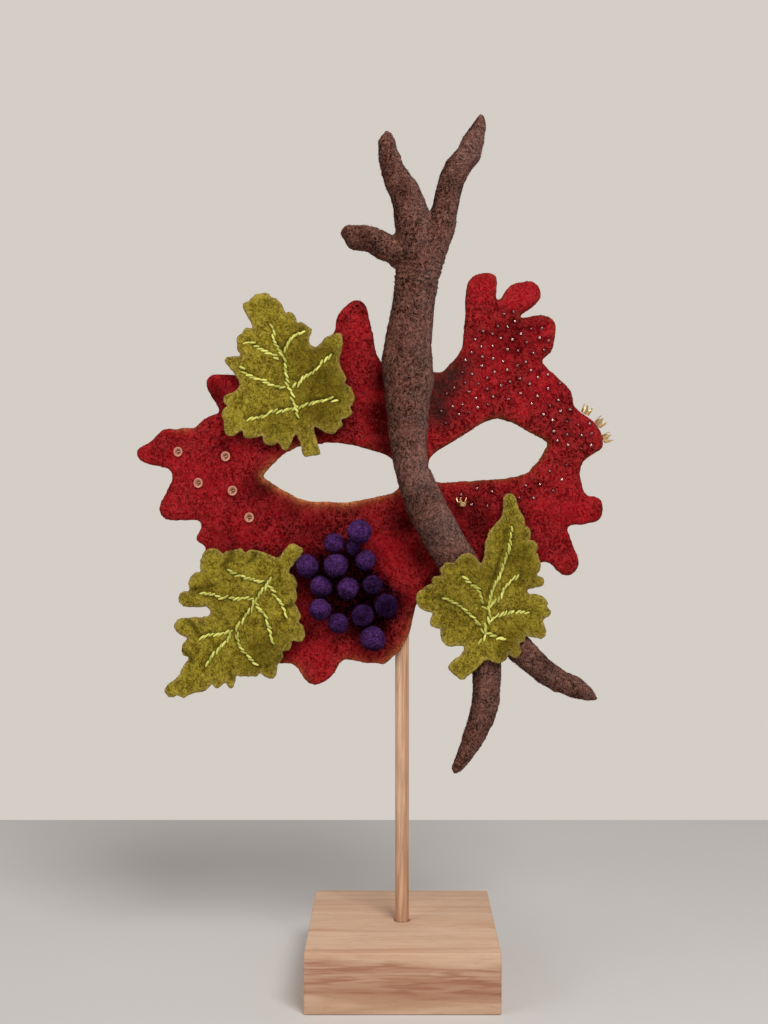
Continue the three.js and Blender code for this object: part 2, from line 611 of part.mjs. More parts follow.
function sequinGeometry() {
  const hole = SEQUIN_HOLE / 2;
  const rim = SEQUIN_DIAMETER / 2;
  return new THREE.LatheGeometry([
    new THREE.Vector2(hole, 0), new THREE.Vector2(rim, SEQUIN_CUP),
    new THREE.Vector2(rim, SEQUIN_CUP + SEQUIN_THICKNESS), new THREE.Vector2(hole, SEQUIN_THICKNESS),
    new THREE.Vector2(hole, 0),
  ], SEQUIN_SIDES);
}

// A ring whose upper edge rises into prongs, standing on y = 0
function crownGeometry() {
  const corners = 2 * CROWN_PRONGS;
  const positions = [];
  for (let k = 0; k < corners; k += 1) {
    const angle = (2 * Math.PI * k) / corners;
    const top = k % 2 === 0 ? CROWN_HEIGHT : CROWN_BAND;
    [[CROWN_DIAMETER / 2, 0], [CROWN_DIAMETER / 2, top], [CROWN_DIAMETER / 2 - CROWN_WALL, top],
      [CROWN_DIAMETER / 2 - CROWN_WALL, 0]].forEach(([radius, y]) => {
      positions.push(radius * Math.cos(angle), y, radius * Math.sin(angle));
    });
  }
  const triangles = [];
  for (let k = 0; k < corners; k += 1) {
    const a = 4 * k;
    const b = 4 * ((k + 1) % corners);
    for (let side = 0; side < 4; side += 1) {
      const next = (side + 1) % 4;
      triangles.push(a + side, a + next, b + next, a + side, b + next, b + side);
    }
  }
  const geometry = new THREE.BufferGeometry();
  geometry.setAttribute('position', new THREE.Float32BufferAttribute(positions, 3));
  geometry.setIndex(triangles);
  return geometry;
}

// Stand

function baseSolid() {
  const half = BASE_SIDE / 2 - BASE_CHAMFER;
  const square = new THREE.Shape([
    new THREE.Vector2(-half, -half), new THREE.Vector2(half, -half),
    new THREE.Vector2(half, half), new THREE.Vector2(-half, half),
  ]);
  const block = new THREE.ExtrudeGeometry(square, {
    depth: BASE_HEIGHT - 2 * BASE_CHAMFER,
    bevelThickness: BASE_CHAMFER,
    bevelSize: BASE_CHAMFER,
    bevelSegments: 1,
  });
  block.translate(0, 0, BASE_CHAMFER);
  const drill = new THREE.CylinderGeometry(
    DOWEL_DIAMETER / 2 + GAP, DOWEL_DIAMETER / 2 + GAP, 2 * SOCKET_DEPTH, ROUND_SIDES,
  );
  drill.rotateX(Math.PI / 2);
  drill.translate(0, 0, BASE_HEIGHT);
  return solidOfGeometry(block).subtract(solidOfGeometry(drill));
}

function dowelGeometry() {
  const radius = DOWEL_DIAMETER / 2;
  const foot = BASE_HEIGHT - SOCKET_DEPTH + GAP;
  const geometry = new THREE.CylinderGeometry(radius, radius, DOWEL_TOP - foot, ROUND_SIDES);
  geometry.rotateX(Math.PI / 2);
  geometry.translate(0, 0, (DOWEL_TOP + foot) / 2);
  return geometry;
}

// A felt strip laid over the dowel, its two flanges on the back of the face. Each side of its section runs
// from the flange's end to the top of the bend, first under the strip and then over it.
function sleeveGeometry() {
  const reach = SLEEVE_WIDTH / 2;
  const near = FACE_Y + MASK_FELT + SIDE_SWEEP * (SLEEVE_WIDTH / MASK_WIDTH) ** 2 + GAP;
  const far = DOWEL_DIAMETER / 2 + GAP;
  const bend = far * EIGHTH_TURN; // half a flat of the bend, which is half an octagon
  const splay = bend - near; // how far the strip leans out on its way to the flange
  const inner = [[reach, near], [far + splay, near], [far, bend], [bend, far]];
  const over = SLEEVE_FELT * EIGHTH_TURN;
  const outer = [
    [bend + over, far + SLEEVE_FELT], [far + SLEEVE_FELT, bend + over],
    [far + splay + over, near + SLEEVE_FELT], [reach, near + SLEEVE_FELT],
  ];
  const mirrored = (side) => side.map(([x, y]) => [-x, y]).reverse();
  const loop = [...inner, ...mirrored(inner), ...mirrored(outer), ...outer];
  const shape = new THREE.Shape(loop.map(([x, y]) => new THREE.Vector2(x, y)));
  const geometry = new THREE.ExtrudeGeometry(shape, { depth: SLEEVE_HEIGHT, bevelEnabled: false });
  geometry.translate(0, 0, SLEEVE_TOP - SLEEVE_HEIGHT);
  return geometry;
}

// Materials
const felt = (color) => new THREE.MeshStandardMaterial({ color, roughness: 0.95, metalness: 0 });
const redFelt = felt('#8a1420');
const barkFelt = felt('#5b4544');
const leafFelt = felt('#7d7426');
const grapeFelt = felt('#45306f');
const wood = new THREE.MeshStandardMaterial({ color: '#c79a74', roughness: 0.6, metalness: 0 });
const copper = new THREE.MeshStandardMaterial({ color: '#d08a78', roughness: 0.3, metalness: 0.6 });
const gold = new THREE.MeshStandardMaterial({ color: '#c9a15c', roughness: 0.3, metalness: 1 });

// Assembly
const mask = new THREE.Group();
const UP = new THREE.Vector3(0, 1, 0);

function add(name, geometry, material) {
  const mesh = new THREE.Mesh(geometry, material);
  mesh.name = name;
  mask.add(mesh);
  return mesh;
}

add('mask_felt', geometryOf(maskSolid()), redFelt);
add('felt_branch', geometryOf(treeSolid()), barkFelt);
add('leaf_upper_left', geometryOf(leafSolid(
  UPPER_LEFT_LEAF_OUTLINE, UPPER_LEFT_LEAF, PLACES.upperLeftLeaf, upperLeftLeafBack,
)), leafFelt);
add('leaf_lower_left', geometryOf(leafSolid(
  LOWER_LEFT_LEAF_OUTLINE, LOWER_LEFT_LEAF, PLACES.lowerLeftLeaf, lowerLeftLeafBack,
)), leafFelt);
add('leaf_lower_right', geometryOf(leafSolid(
  LOWER_RIGHT_LEAF_OUTLINE, LOWER_RIGHT_LEAF, PLACES.lowerRightLeaf, lowerRightLeafBack,
)), leafFelt);

settledGrapes().forEach(({ centre, radius }, i) => {
  const name = `grape_${String(i + 1).padStart(2, '0')}`;
  const ball = new THREE.SphereGeometry(radius, GRAPE_SIDES, GRAPE_SIDES / 2 + 2);
  add(name, ball, grapeFelt).position.copy(centre);
});

SEQUINS.forEach((row, i) => {
  const sequin = add(`sequin_${i + 1}`, sequinGeometry(), copper);
  const seat = onFace(row, GAP);
  sequin.position.copy(seat.point);
  sequin.quaternion.setFromUnitVectors(UP, seat.normal);
});

const rimCorners = outlinePoints(FACE_OUTLINE, MASK_SIZE, MASK_PLACE);
const rimPoints = rimCorners.flatMap((corner, i) => {
  const next = rimCorners[(i + 1) % rimCorners.length];
  const pieces = Math.ceil(corner.distanceTo(next) / CROWN_WALL);
  return Array.from({ length: pieces }, (_, k) => corner.clone().lerp(next, k / pieces));
});
EDGE_CROWNS.forEach((row, i) => {
  const turn = THREE.MathUtils.degToRad(row.turn);
  const out = new THREE.Vector2(Math.sin(turn), Math.cos(turn));
  const start = new THREE.Vector2(row.x * MASK_WIDTH, MASK_FOOT + row.z * MASK_HEIGHT);
  const aside = (p) => Math.abs((p.x - start.x) * out.y - (p.y - start.y) * out.x);
  const beside = rimPoints.filter((p) => aside(p) < CROWN_DIAMETER / 2 + GAP);
  const near = beside.filter((p) => p.distanceTo(start) < RIM_SEARCH * CROWN_DIAMETER);
  const rim = Math.max(...near.map((p) => p.clone().sub(start).dot(out)));
  const seat = start.clone().addScaledVector(out, rim + GAP);
  const crown = add(`gold_crown_${i + 1}`, crownGeometry(), gold);
  crown.position.set(seat.x, faceFront(start.x, start.y) + MASK_FELT / 2, seat.y);
  crown.quaternion.setFromUnitVectors(UP, new THREE.Vector3(out.x, 0, out.y));
});

const faceCrown = add(`gold_crown_${EDGE_CROWNS.length + 1}`, crownGeometry(), gold);
faceCrown.position.copy(onFace(FACE_CROWN, CROWN_DIAMETER / 2 + GAP).point);
faceCrown.quaternion.setFromUnitVectors(UP, new THREE.Vector3(0, 0, 1));

add('stand_base', geometryOf(baseSolid()), wood);
add('stand_dowel', dowelGeometry(), wood);
add('dowel_sleeve', sleeveGeometry(), redFelt);

export default mask;
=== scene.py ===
"""Looks of a felt masquerade mask on its wooden stand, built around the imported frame.

Lengths are metres in the frame's own axes: +Z up along the dowel, -Y the way the mask looks.
Places read off the photograph are pixels of its 768 x 1024 frame, and are named as such.
"""

import logging
import math
from dataclasses import dataclass, replace
from enum import Enum
from typing import Sequence

import bpy
import numpy as np
from mathutils import Matrix, Vector
from mathutils.bvhtree import BVHTree
from mathutils.kdtree import KDTree


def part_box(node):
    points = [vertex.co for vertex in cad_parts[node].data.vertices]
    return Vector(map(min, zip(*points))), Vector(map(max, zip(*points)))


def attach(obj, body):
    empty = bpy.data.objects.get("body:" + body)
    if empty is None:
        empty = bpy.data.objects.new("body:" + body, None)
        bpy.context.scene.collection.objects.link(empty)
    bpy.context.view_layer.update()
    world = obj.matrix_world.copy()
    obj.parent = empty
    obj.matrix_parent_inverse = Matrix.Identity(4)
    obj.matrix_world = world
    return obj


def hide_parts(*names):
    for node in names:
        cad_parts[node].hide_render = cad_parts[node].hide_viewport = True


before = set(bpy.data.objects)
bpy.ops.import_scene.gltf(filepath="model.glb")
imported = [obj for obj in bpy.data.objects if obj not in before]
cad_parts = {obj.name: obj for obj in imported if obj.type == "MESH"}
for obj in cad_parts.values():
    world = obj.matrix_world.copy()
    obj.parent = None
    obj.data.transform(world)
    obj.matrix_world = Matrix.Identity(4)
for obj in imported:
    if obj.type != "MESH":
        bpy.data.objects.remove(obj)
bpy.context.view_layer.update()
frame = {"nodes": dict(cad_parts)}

Colour = tuple[float, float, float]
Pixel = tuple[float, float]
Route = tuple[Pixel, ...]

MM = 0.001
# Vertices that lie closer than this are one and the same.
MERGE_WITHIN = 0.005 * MM
# The normals of a cut edge point less than this much to the front or the back.
EDGE_LOOKS_ASIDE = 0.5
# The stretch of a mixed value over which a colour goes from dark to light.
COPIES_RANGE = (0.25, 0.75)
LOG = logging.getLogger("mask")


@dataclass(frozen=True)
class PhotoView:
    """The camera of the photograph, worked out from the perspective of the stand's block."""

    width: int = 768
    height: int = 1024
    focal: float = 1280.0
    ahead: Pixel = (394.0, 482.0)
    eye: tuple[float, float, float] = (-0.0035, -0.557, 0.2154)
    sensor: float = 36.0
    nearest: float = 0.01

    def ray(self, place: Pixel) -> Vector:
        """The direction in which the camera sees a pixel.

        Args:
            place: The pixel.

        Returns:
            The direction, of length 1.
        """
        right = (place[0] - self.ahead[0]) / self.focal
        up = (self.ahead[1] - place[1]) / self.focal
        return Vector((right, 1.0, up)).normalized()

    def pixels(self, points: np.ndarray) -> np.ndarray:
        """Find where the camera sees points.

        Args:
            points: One row of x, y and z for each point.

        Returns:
            One row of pixel x and pixel y for each point.
        """
        scale = self.focal / (points[:, 1] - self.eye[1])
        across = self.ahead[0] + (points[:, 0] - self.eye[0]) * scale
        down = self.ahead[1] - (points[:, 2] - self.eye[2]) * scale
        return np.stack([across, down], 1)

    def set_up(self) -> None:
        """Put the scene's camera where the photograph's was."""
        bpy.ops.object.camera_add(location=self.eye, rotation=(math.pi / 2, 0, 0))
        camera = bpy.context.object
        camera.name = "photo_camera"
        camera.data.sensor_width = self.sensor
        camera.data.lens = self.focal * self.sensor / self.height
        camera.data.shift_x = (self.width / 2 - self.ahead[0]) / self.height
        camera.data.shift_y = (self.ahead[1] - self.height / 2) / self.height
        camera.data.clip_start = self.nearest
        bpy.context.scene.camera = camera


VIEW = PhotoView()


def only(piece: bpy.types.Object) -> None:
    """Make a piece the one that is selected and active.

    Args:
        piece: The piece.
    """
    bpy.ops.object.select_all(action="DESELECT")
    piece.select_set(True)
    bpy.context.view_layer.objects.active = piece


def apply_modifier(piece: bpy.types.Object, kind: str, **settings: object) -> None:
    """Add a modifier to a piece and apply it.

    Args:
        piece: The piece to change.
        kind: The modifier's type.
        settings: Its settings, by name.
    """
    only(piece)
    modifier = piece.modifiers.new(kind.lower(), kind)
    for key, value in settings.items():
        setattr(modifier, key, value)
    bpy.ops.object.modifier_apply(modifier=modifier.name)


def coordinates(mesh: bpy.types.Mesh) -> np.ndarray:
    """The places of a mesh's vertices, a row for each.

    Args:
        mesh: The mesh.

    Returns:
        One row of x, y and z for each vertex.
    """
    flat = np.empty(len(mesh.vertices) * 3)
    mesh.vertices.foreach_get("co", flat)
    return flat.reshape(-1, 3)


def normals(mesh: bpy.types.Mesh) -> np.ndarray:
    """The normals of a mesh's vertices, a row for each.

    Args:
        mesh: The mesh.

    Returns:
        One row of x, y and z for each vertex.
    """
    flat = np.empty(len(mesh.vertices) * 3, dtype=np.float32)
    mesh.vertex_normals.foreach_get("vector", flat)
    return flat.reshape(-1, 3).astype(float)


def move_vertices(mesh: bpy.types.Mesh, points: np.ndarray) -> None:
    """Give a mesh's vertices new places."""
    mesh.vertices.foreach_set("co", points.ravel())
    mesh.update()


def mark(mesh: bpy.types.Mesh, name: str, values: np.ndarray) -> None:
    """Store a value for each vertex, which a material reads by its name."""
    layer = mesh.attributes.new(name, "FLOAT", "POINT")
    layer.data.foreach_set("value", values.astype(np.float32))


def blank_of(node: str, name: str) -> bpy.types.Object:
    """Copy a node of the frame as the start of a soft piece.

    Args:
        node: The node's name.
        name: The new piece's name.

    Returns:
        The copy, its loose triangles merged into one closed skin.
    """
    mesh = frame["nodes"][node].data.copy()
    mesh.name = name
    mesh.materials.clear()
    blank = bpy.data.objects.new(name, mesh)
    bpy.context.collection.objects.link(blank)
    only(blank)
    bpy.ops.object.mode_set(mode="EDIT")
    bpy.ops.mesh.select_all(action="SELECT")
    bpy.ops.mesh.remove_doubles(threshold=MERGE_WITHIN)
    bpy.ops.object.mode_set(mode="OBJECT")
    return blank


def mesh_piece(name: str, points: np.ndarray, faces: np.ndarray) -> bpy.types.Object:
    """Make a piece from places and faces worked out in code.

    Args:
        name: The piece's name.
        points: One row of x, y and z for each vertex.
        faces: One row of vertex numbers for each face.

    Returns:
        The new piece, at the origin.
    """
    mesh = bpy.data.meshes.new(name)
    mesh.from_pydata(points.tolist(), [], faces.tolist())
    mesh.update()
    piece = bpy.data.objects.new(name, mesh)
    bpy.context.collection.objects.link(piece)
    return piece


def gather(name: str, pattern: bpy.types.Object, places: Sequence[Matrix]) -> bpy.types.Object:
    """Join copies of a pattern in one mesh, and put the pattern away.

    Args:
        name: The new piece's name.
        pattern: The piece to copy. Its attributes are copied with it.
        places: Where each copy goes.

    Returns:
        The joined piece. Its attribute "tone" differs from copy to copy.
    """
    mesh = pattern.data
    shape = coordinates(mesh)
    corners = [list(face.vertices) for face in mesh.polygons]
    points = []
    faces = []
    for k, place in enumerate(places):
        turn = np.array(place.to_3x3())
        points.append(shape @ turn.T + np.array(place.translation))
        faces.extend([[v + k * len(shape) for v in face] for face in corners])
    joined = bpy.data.meshes.new(name)
    joined.from_pydata(np.concatenate(points).tolist(), [], faces)
    joined.update()
    piece = bpy.data.objects.new(name, joined)
    bpy.context.collection.objects.link(piece)
    for layer in mesh.attributes:
        if layer.domain == "POINT" and layer.data_type == "FLOAT":
            values = np.empty(len(shape), dtype=np.float32)
            layer.data.foreach_get("value", values)
            mark(joined, layer.name, np.tile(values, len(places)))
    tones = np.random.default_rng(len(places)).random(len(places))
    mark(joined, "tone", np.repeat(tones, len(shape)))
    bpy.data.objects.remove(pattern)
    return piece


def lying(point: Vector, along: Vector, normal: Vector) -> Matrix:
    """A place on a surface.

    Args:
        point: Where it is.
        along: The way its x axis goes, as far as the surface lets it.
        normal: The way its z axis goes.

    Returns:
        The place's matrix.
    """
    up = normal.normalized()
    side = up.cross(along).normalized()
    ahead = side.cross(up)
    turn = Matrix((ahead, side, up)).transposed().to_4x4()
    return Matrix.Translation(point) @ turn


def smooth(piece: bpy.types.Object) -> None:
    """Shade a piece smooth."""
    only(piece)
    bpy.ops.object.shade_smooth()


def face_outward(piece: bpy.types.Object) -> None:
    """Turn all of a piece's faces to look outwards.

    Args:
        piece: The piece.
    """
    only(piece)
    bpy.ops.object.mode_set(mode="EDIT")
    bpy.ops.mesh.select_all(action="SELECT")
    bpy.ops.mesh.normals_make_consistent(inside=False)
    bpy.ops.object.mode_set(mode="OBJECT")


def fill_box(piece: bpy.types.Object, node: str) -> None:
    """Stretch a piece of unit size to fill the box of a node."""
    low, high = (np.array(corner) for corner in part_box(node))
    move_vertices(piece.data, coordinates(piece.data) * (high - low) + (low + high) / 2)


class Nodes:
    """A tree of shader nodes under construction."""

    def __init__(self, tree: bpy.types.NodeTree) -> None:
        """Start on a tree."""
        self.tree = tree

    def add(self, kind: str, **settings: object) -> bpy.types.Node:
        """Add a node.

        Args:
            kind: The node's type.
            settings: Its properties, by name.

        Returns:
            The node.
        """
        node = self.tree.nodes.new(kind)
        for key, value in settings.items():
            setattr(node, key, value)
        return node

    def wire(self, value: object, socket: bpy.types.NodeSocket) -> None:
        """Link a socket to another, or set it to a number, colour or vector.

        Args:
            value: The other socket, or what it is set to.
            socket: The socket.
        """
        if isinstance(value, bpy.types.NodeSocket):
            self.tree.links.new(value, socket)
        elif socket.type == "RGBA":
            socket.default_value = (*value, 1.0)
        else:
            socket.default_value = value

    def place(self) -> bpy.types.NodeSocket:
        """The point's place on the piece."""
        return self.add("ShaderNodeTexCoord").outputs["Object"]

    def attribute(self, name: str) -> bpy.types.NodeSocket:
        """A value that the mesh holds at each vertex."""
        return self.add("ShaderNodeAttribute", attribute_name=name).outputs["Fac"]

    def stretch(self, vector: object, factors: object) -> bpy.types.NodeSocket:
        """A vector multiplied axis by axis.

        Args:
            vector: The vector.
            factors: What each axis is multiplied by.

        Returns:
            The stretched vector.
        """
        node = self.add("ShaderNodeVectorMath", operation="MULTIPLY")
        self.wire(vector, node.inputs[0])
        self.wire(factors, node.inputs[1])
        return node.outputs[0]

    def shift(self, vector: object, by: object) -> bpy.types.NodeSocket:
        """A vector with another added.

        Args:
            vector: The vector.
            by: The one that is added.

        Returns:
            The moved vector.
        """
        node = self.add("ShaderNodeVectorMath", operation="ADD")
        self.wire(vector, node.inputs[0])
        self.wire(by, node.inputs[1])
        return node.outputs[0]

    def noise(
        self, vector: object, scale: object, detail: float = 2.0, distortion: float = 0.0
    ) -> bpy.types.NodeSocket:
        """Cloudy noise.

        Args:
            vector: Where it is read.
            scale: Clouds in each metre.
            detail: Octaves of finer clouds.
            distortion: How far the clouds are pulled about.

        Returns:
            A value round 0.5.
        """
        node = self.add("ShaderNodeTexNoise")
        self.wire(vector, node.inputs["Vector"])
        self.wire(scale, node.inputs["Scale"])
        node.inputs["Detail"].default_value = detail
        node.inputs["Distortion"].default_value = distortion
        return node.outputs["Fac"]

    def math(self, operation: str, a: object, b: object = 0.0) -> bpy.types.NodeSocket:
        """Arithmetic on one or two values.

        Args:
            operation: The sum's name.
            a: The first value.
            b: The second value.

        Returns:
            What it comes to.
        """
        node = self.add("ShaderNodeMath", operation=operation)
        self.wire(a, node.inputs[0])
        self.wire(b, node.inputs[1])
        return node.outputs[0]

    def blend(self, a: object, b: object, share: float) -> bpy.types.NodeSocket:
        """Two values added, with the second's share given."""
        return self.math("ADD", self.math("MULTIPLY", a, 1 - share), self.math("MULTIPLY", b, share))

    def span(
        self, value: object, low: float, high: float, first: float = 0.0, last: float = 1.0
    ) -> bpy.types.NodeSocket:
        """Turn a stretch of values into another, held at its ends.

        Args:
            value: What is read.
            low: Where the stretch starts.
            high: Where it ends.
            first: What comes out at its start.
            last: What comes out at its end.

        Returns:
            The new value.
        """
        node = self.add("ShaderNodeMapRange", interpolation_type="SMOOTHSTEP")
        for given, socket in zip((value, low, high, first, last), node.inputs):
            self.wire(given, socket)
        return node.outputs[0]

    def mix(self, factor: object, first: object, second: object) -> bpy.types.NodeSocket:
        """Mix two colours.

        Args:
            factor: The share of the second.
            first: A colour.
            second: Another colour.

        Returns:
            The mixed colour.
        """
        node = self.add("ShaderNodeMix", data_type="RGBA")
        self.wire(factor, node.inputs[0])
        self.wire(first, node.inputs[6])
        self.wire(second, node.inputs[7])
        return node.outputs[2]

    def ramp(self, value: object, stops: Sequence[tuple[float, Colour]]) -> bpy.types.NodeSocket:
        """Turn a value into a colour.

        Args:
            value: What is read.
            stops: Each stop's place and colour.

        Returns:
            The colour.
        """
        node = self.add("ShaderNodeValToRGB")
        self.wire(value, node.inputs[0])
        elements = node.color_ramp.elements
        while len(elements) < len(stops):
            elements.new(1.0)
        for element, (place, colour) in zip(elements, stops):
            element.position = place
            element.color = (*colour, 1.0)
        return node.outputs[0]

    def bump(self, height: object, strength: float, depth: float) -> bpy.types.NodeSocket:
        """A normal bent by a height.

        Args:
            height: The height, from 0 to 1.
            strength: The share of the bend that is kept.
            depth: What a height of 1 stands for, in metres.

        Returns:
            The bent normal.
        """
        node = self.add("ShaderNodeBump")
        node.inputs["Strength"].default_value = strength
        node.inputs["Distance"].default_value = depth
        self.wire(height, node.inputs["Height"])
        return node.outputs[0]

    def group(self, tree: bpy.types.NodeTree, **inputs: object) -> bpy.types.Node:
        """Place a node group, with its inputs set or linked by name.

        Args:
            tree: The group.
            inputs: What its inputs are given, by name.

        Returns:
            The node.
        """
        node = self.add("ShaderNodeGroup", node_tree=tree)
        for key, value in inputs.items():
            self.wire(value, node.inputs[key])
        return node


class Wool:
    """The pattern that every felt of this mask shares: cloudy patches, strands and flecks.

    Widths are shares of a noise's range, and finer patterns are so many times as fine as the strands.
    """

    CLOUD_DETAIL = 4.0
    CLOUD_PULL = 0.4
    STRAND_DETAIL = 1.5
    STRAND_PULL = 0.8
    FLECK_DETAIL = 3.0
    COARSE_WIDTH = 0.1
    FINE_WIDTH = 0.08
    FINE_SCALE = 1.7
    FINE_SHARE = 0.75
    FLECK_SCALE = 2.6
    FLECK_RANGE = (0.35, 0.65)
    STRAND_HEIGHT = 0.6
    FLECK_HEIGHT = 0.4
    ELSEWHERE = (0.31, 0.17, 0.23)

    def __init__(self) -> None:
        """Build the node group."""
        self.tree = bpy.data.node_groups.new("wool", "ShaderNodeTree")
        sockets = self.tree.interface
        for name, kind in (("Place", "Vector"), ("Patch", "Float"), ("Strand", "Float"), ("Lie", "Vector")):
            sockets.new_socket(name=name, in_out="INPUT", socket_type=f"NodeSocket{kind}")
        for name in ("Cloud", "Strands", "Fleck", "Height"):
            sockets.new_socket(name=name, in_out="OUTPUT", socket_type="NodeSocketFloat")
        nodes = Nodes(self.tree)
        given = nodes.add("NodeGroupInput").outputs
        result = nodes.add("NodeGroupOutput").inputs
        lie = nodes.stretch(given["Place"], given["Lie"])
        cloud = nodes.noise(given["Place"], given["Patch"], self.CLOUD_DETAIL, self.CLOUD_PULL)
        coarse = self._worms(nodes, lie, given["Strand"], self.COARSE_WIDTH)
        moved = nodes.shift(lie, self.ELSEWHERE)
        finer = nodes.math("MULTIPLY", given["Strand"], self.FINE_SCALE)
        fine = self._worms(nodes, moved, finer, self.FINE_WIDTH)
        flecks = nodes.math("MULTIPLY", given["Strand"], self.FLECK_SCALE)
        fleck = nodes.noise(moved, flecks, self.FLECK_DETAIL)
        strands = nodes.math("MAXIMUM", coarse, nodes.math("MULTIPLY", fine, self.FINE_SHARE))
        raised = nodes.math("MULTIPLY", strands, self.STRAND_HEIGHT)
        height = nodes.math("ADD", raised, nodes.math("MULTIPLY", fleck, self.FLECK_HEIGHT))
        nodes.wire(cloud, result["Cloud"])
        nodes.wire(strands, result["Strands"])
        nodes.wire(nodes.span(fleck, *self.FLECK_RANGE), result["Fleck"])
        nodes.wire(height, result["Height"])

    @staticmethod
    def _worms(nodes: Nodes, vector: object, scale: object, width: float) -> bpy.types.NodeSocket:
        """Curling strands.

        Args:
            nodes: The tree that they are made in.
            vector: Where they are read.
            scale: Clouds in each metre, between which the strands run.
            width: How broad they are, as a share of the noise's range.

        Returns:
            1 along the middle of a strand and 0 between strands.
        """
        cloud = nodes.noise(vector, scale, Wool.STRAND_DETAIL, Wool.STRAND_PULL)
        off = nodes.math("ABSOLUTE", nodes.math("SUBTRACT", cloud, 0.5))
        return nodes.span(off, 0.0, width, 1.0, 0.0)


class Grain:
    """The pattern of the stand's wood: broad bands, fine streaks and short pores.

    Scales are so many in a metre across the grain, and ranges are the parts of a noise that show.
    """

    BAND_SCALE = 95.0
    STREAK_SCALE = 620.0
    PORE_SCALE = 2100.0
    DETAIL = 3.0
    BAND_PULL = 1.2
    STREAK_PULL = 0.6
    STREAK_RANGE = (0.3, 0.7)
    PORE_RANGE = (0.62, 0.74)
    STREAKS_ELSEWHERE = (0.4, 0.2, 0.7)
    PORES_ELSEWHERE = (0.1, 0.9, 0.3)

    def __init__(self) -> None:
        """Build the node group."""
        self.tree = bpy.data.node_groups.new("grain", "ShaderNodeTree")
        sockets = self.tree.interface
        for name, kind in (("Place", "Vector"), ("Along", "Vector")):
            sockets.new_socket(name=name, in_out="INPUT", socket_type=f"NodeSocket{kind}")
        for name in ("Bands", "Streaks", "Pores"):
            sockets.new_socket(name=name, in_out="OUTPUT", socket_type="NodeSocketFloat")
        nodes = Nodes(self.tree)
        given = nodes.add("NodeGroupInput").outputs
        result = nodes.add("NodeGroupOutput").inputs
        run = nodes.stretch(given["Place"], given["Along"])
        nodes.wire(nodes.noise(run, self.BAND_SCALE, self.DETAIL, self.BAND_PULL), result["Bands"])
        aside = nodes.shift(run, self.STREAKS_ELSEWHERE)
        streaks = nodes.noise(aside, self.STREAK_SCALE, self.DETAIL, self.STREAK_PULL)
        nodes.wire(nodes.span(streaks, *self.STREAK_RANGE), result["Streaks"])
        pores = nodes.noise(nodes.shift(run, self.PORES_ELSEWHERE), self.PORE_SCALE, 1.0)
        nodes.wire(nodes.span(pores, *self.PORE_RANGE), result["Pores"])


@dataclass(frozen=True)
class Tint:
    """A colour that a mesh's attribute brings up in a felt. Some are colours of the wool, and some are
    painted shade and painted light.
    """

    attribute: str
    colour: Colour
    most: float = 1.0


@dataclass(frozen=True)
class FeltLook:
    """A felt: its colours, from the deepest shade to the lightest strand, and its texture."""

    name: str
    deep: Colour
    body: Colour
    bright: Colour
    strand: Colour
    tints: tuple[Tint, ...] = ()
    strand_share: float = 0.5
    patches: float = 90.0
    strands: float = 420.0
    lie: tuple[float, float, float] = (1.0, 1.0, 0.45)
    bump: float = 0.8
    depth: float = 0.35 * MM
    sheen: float = 0.004
    sheen_tint: Colour = (1.0, 0.8, 0.75)
    sheen_roughness: float = 0.6
    roughness: float = 0.95
    mottle: float = 0.12
    least_wear: float = 0.6
    stops: tuple[float, float, float] = (0.34, 0.5, 0.66)

    def material(self, wool: Wool) -> bpy.types.Material:
        """Make the felt's material.

        Args:
            wool: The pattern that it is made from.

        Returns:
            The material.
        """
        material, nodes, skin = new_material(self.name)
        pattern = nodes.group(
            wool.tree, Place=nodes.place(), Patch=self.patches, Strand=self.strands, Lie=self.lie
        ).outputs
        mottle = nodes.span(pattern["Fleck"], 0.0, 1.0, -self.mottle, self.mottle)
        cloud = nodes.math("ADD", pattern["Cloud"], mottle)
        colour = nodes.ramp(cloud, tuple(zip(self.stops, (self.deep, self.body, self.bright))))
        share = nodes.math("MULTIPLY", pattern["Strands"], self.strand_share)
        colour = nodes.mix(share, colour, self.strand)
        wear = nodes.span(pattern["Fleck"], 0.0, 1.0, self.least_wear, 1.0)
        for tint in self.tints:
            amount = nodes.math("MULTIPLY", nodes.attribute(tint.attribute), wear)
            amount = nodes.math("MULTIPLY", amount, tint.most)
            colour = nodes.mix(amount, colour, tint.colour)
        nodes.wire(colour, skin.inputs["Base Color"])
        nodes.wire(nodes.bump(pattern["Height"], self.bump, self.depth), skin.inputs["Normal"])
        skin.inputs["Roughness"].default_value = self.roughness
        skin.inputs["Specular IOR Level"].default_value = 0.0
        skin.inputs["Sheen Weight"].default_value = self.sheen
        skin.inputs["Sheen Roughness"].default_value = self.sheen_roughness
        skin.inputs["Sheen Tint"].default_value = (*self.sheen_tint, 1.0)
        return material


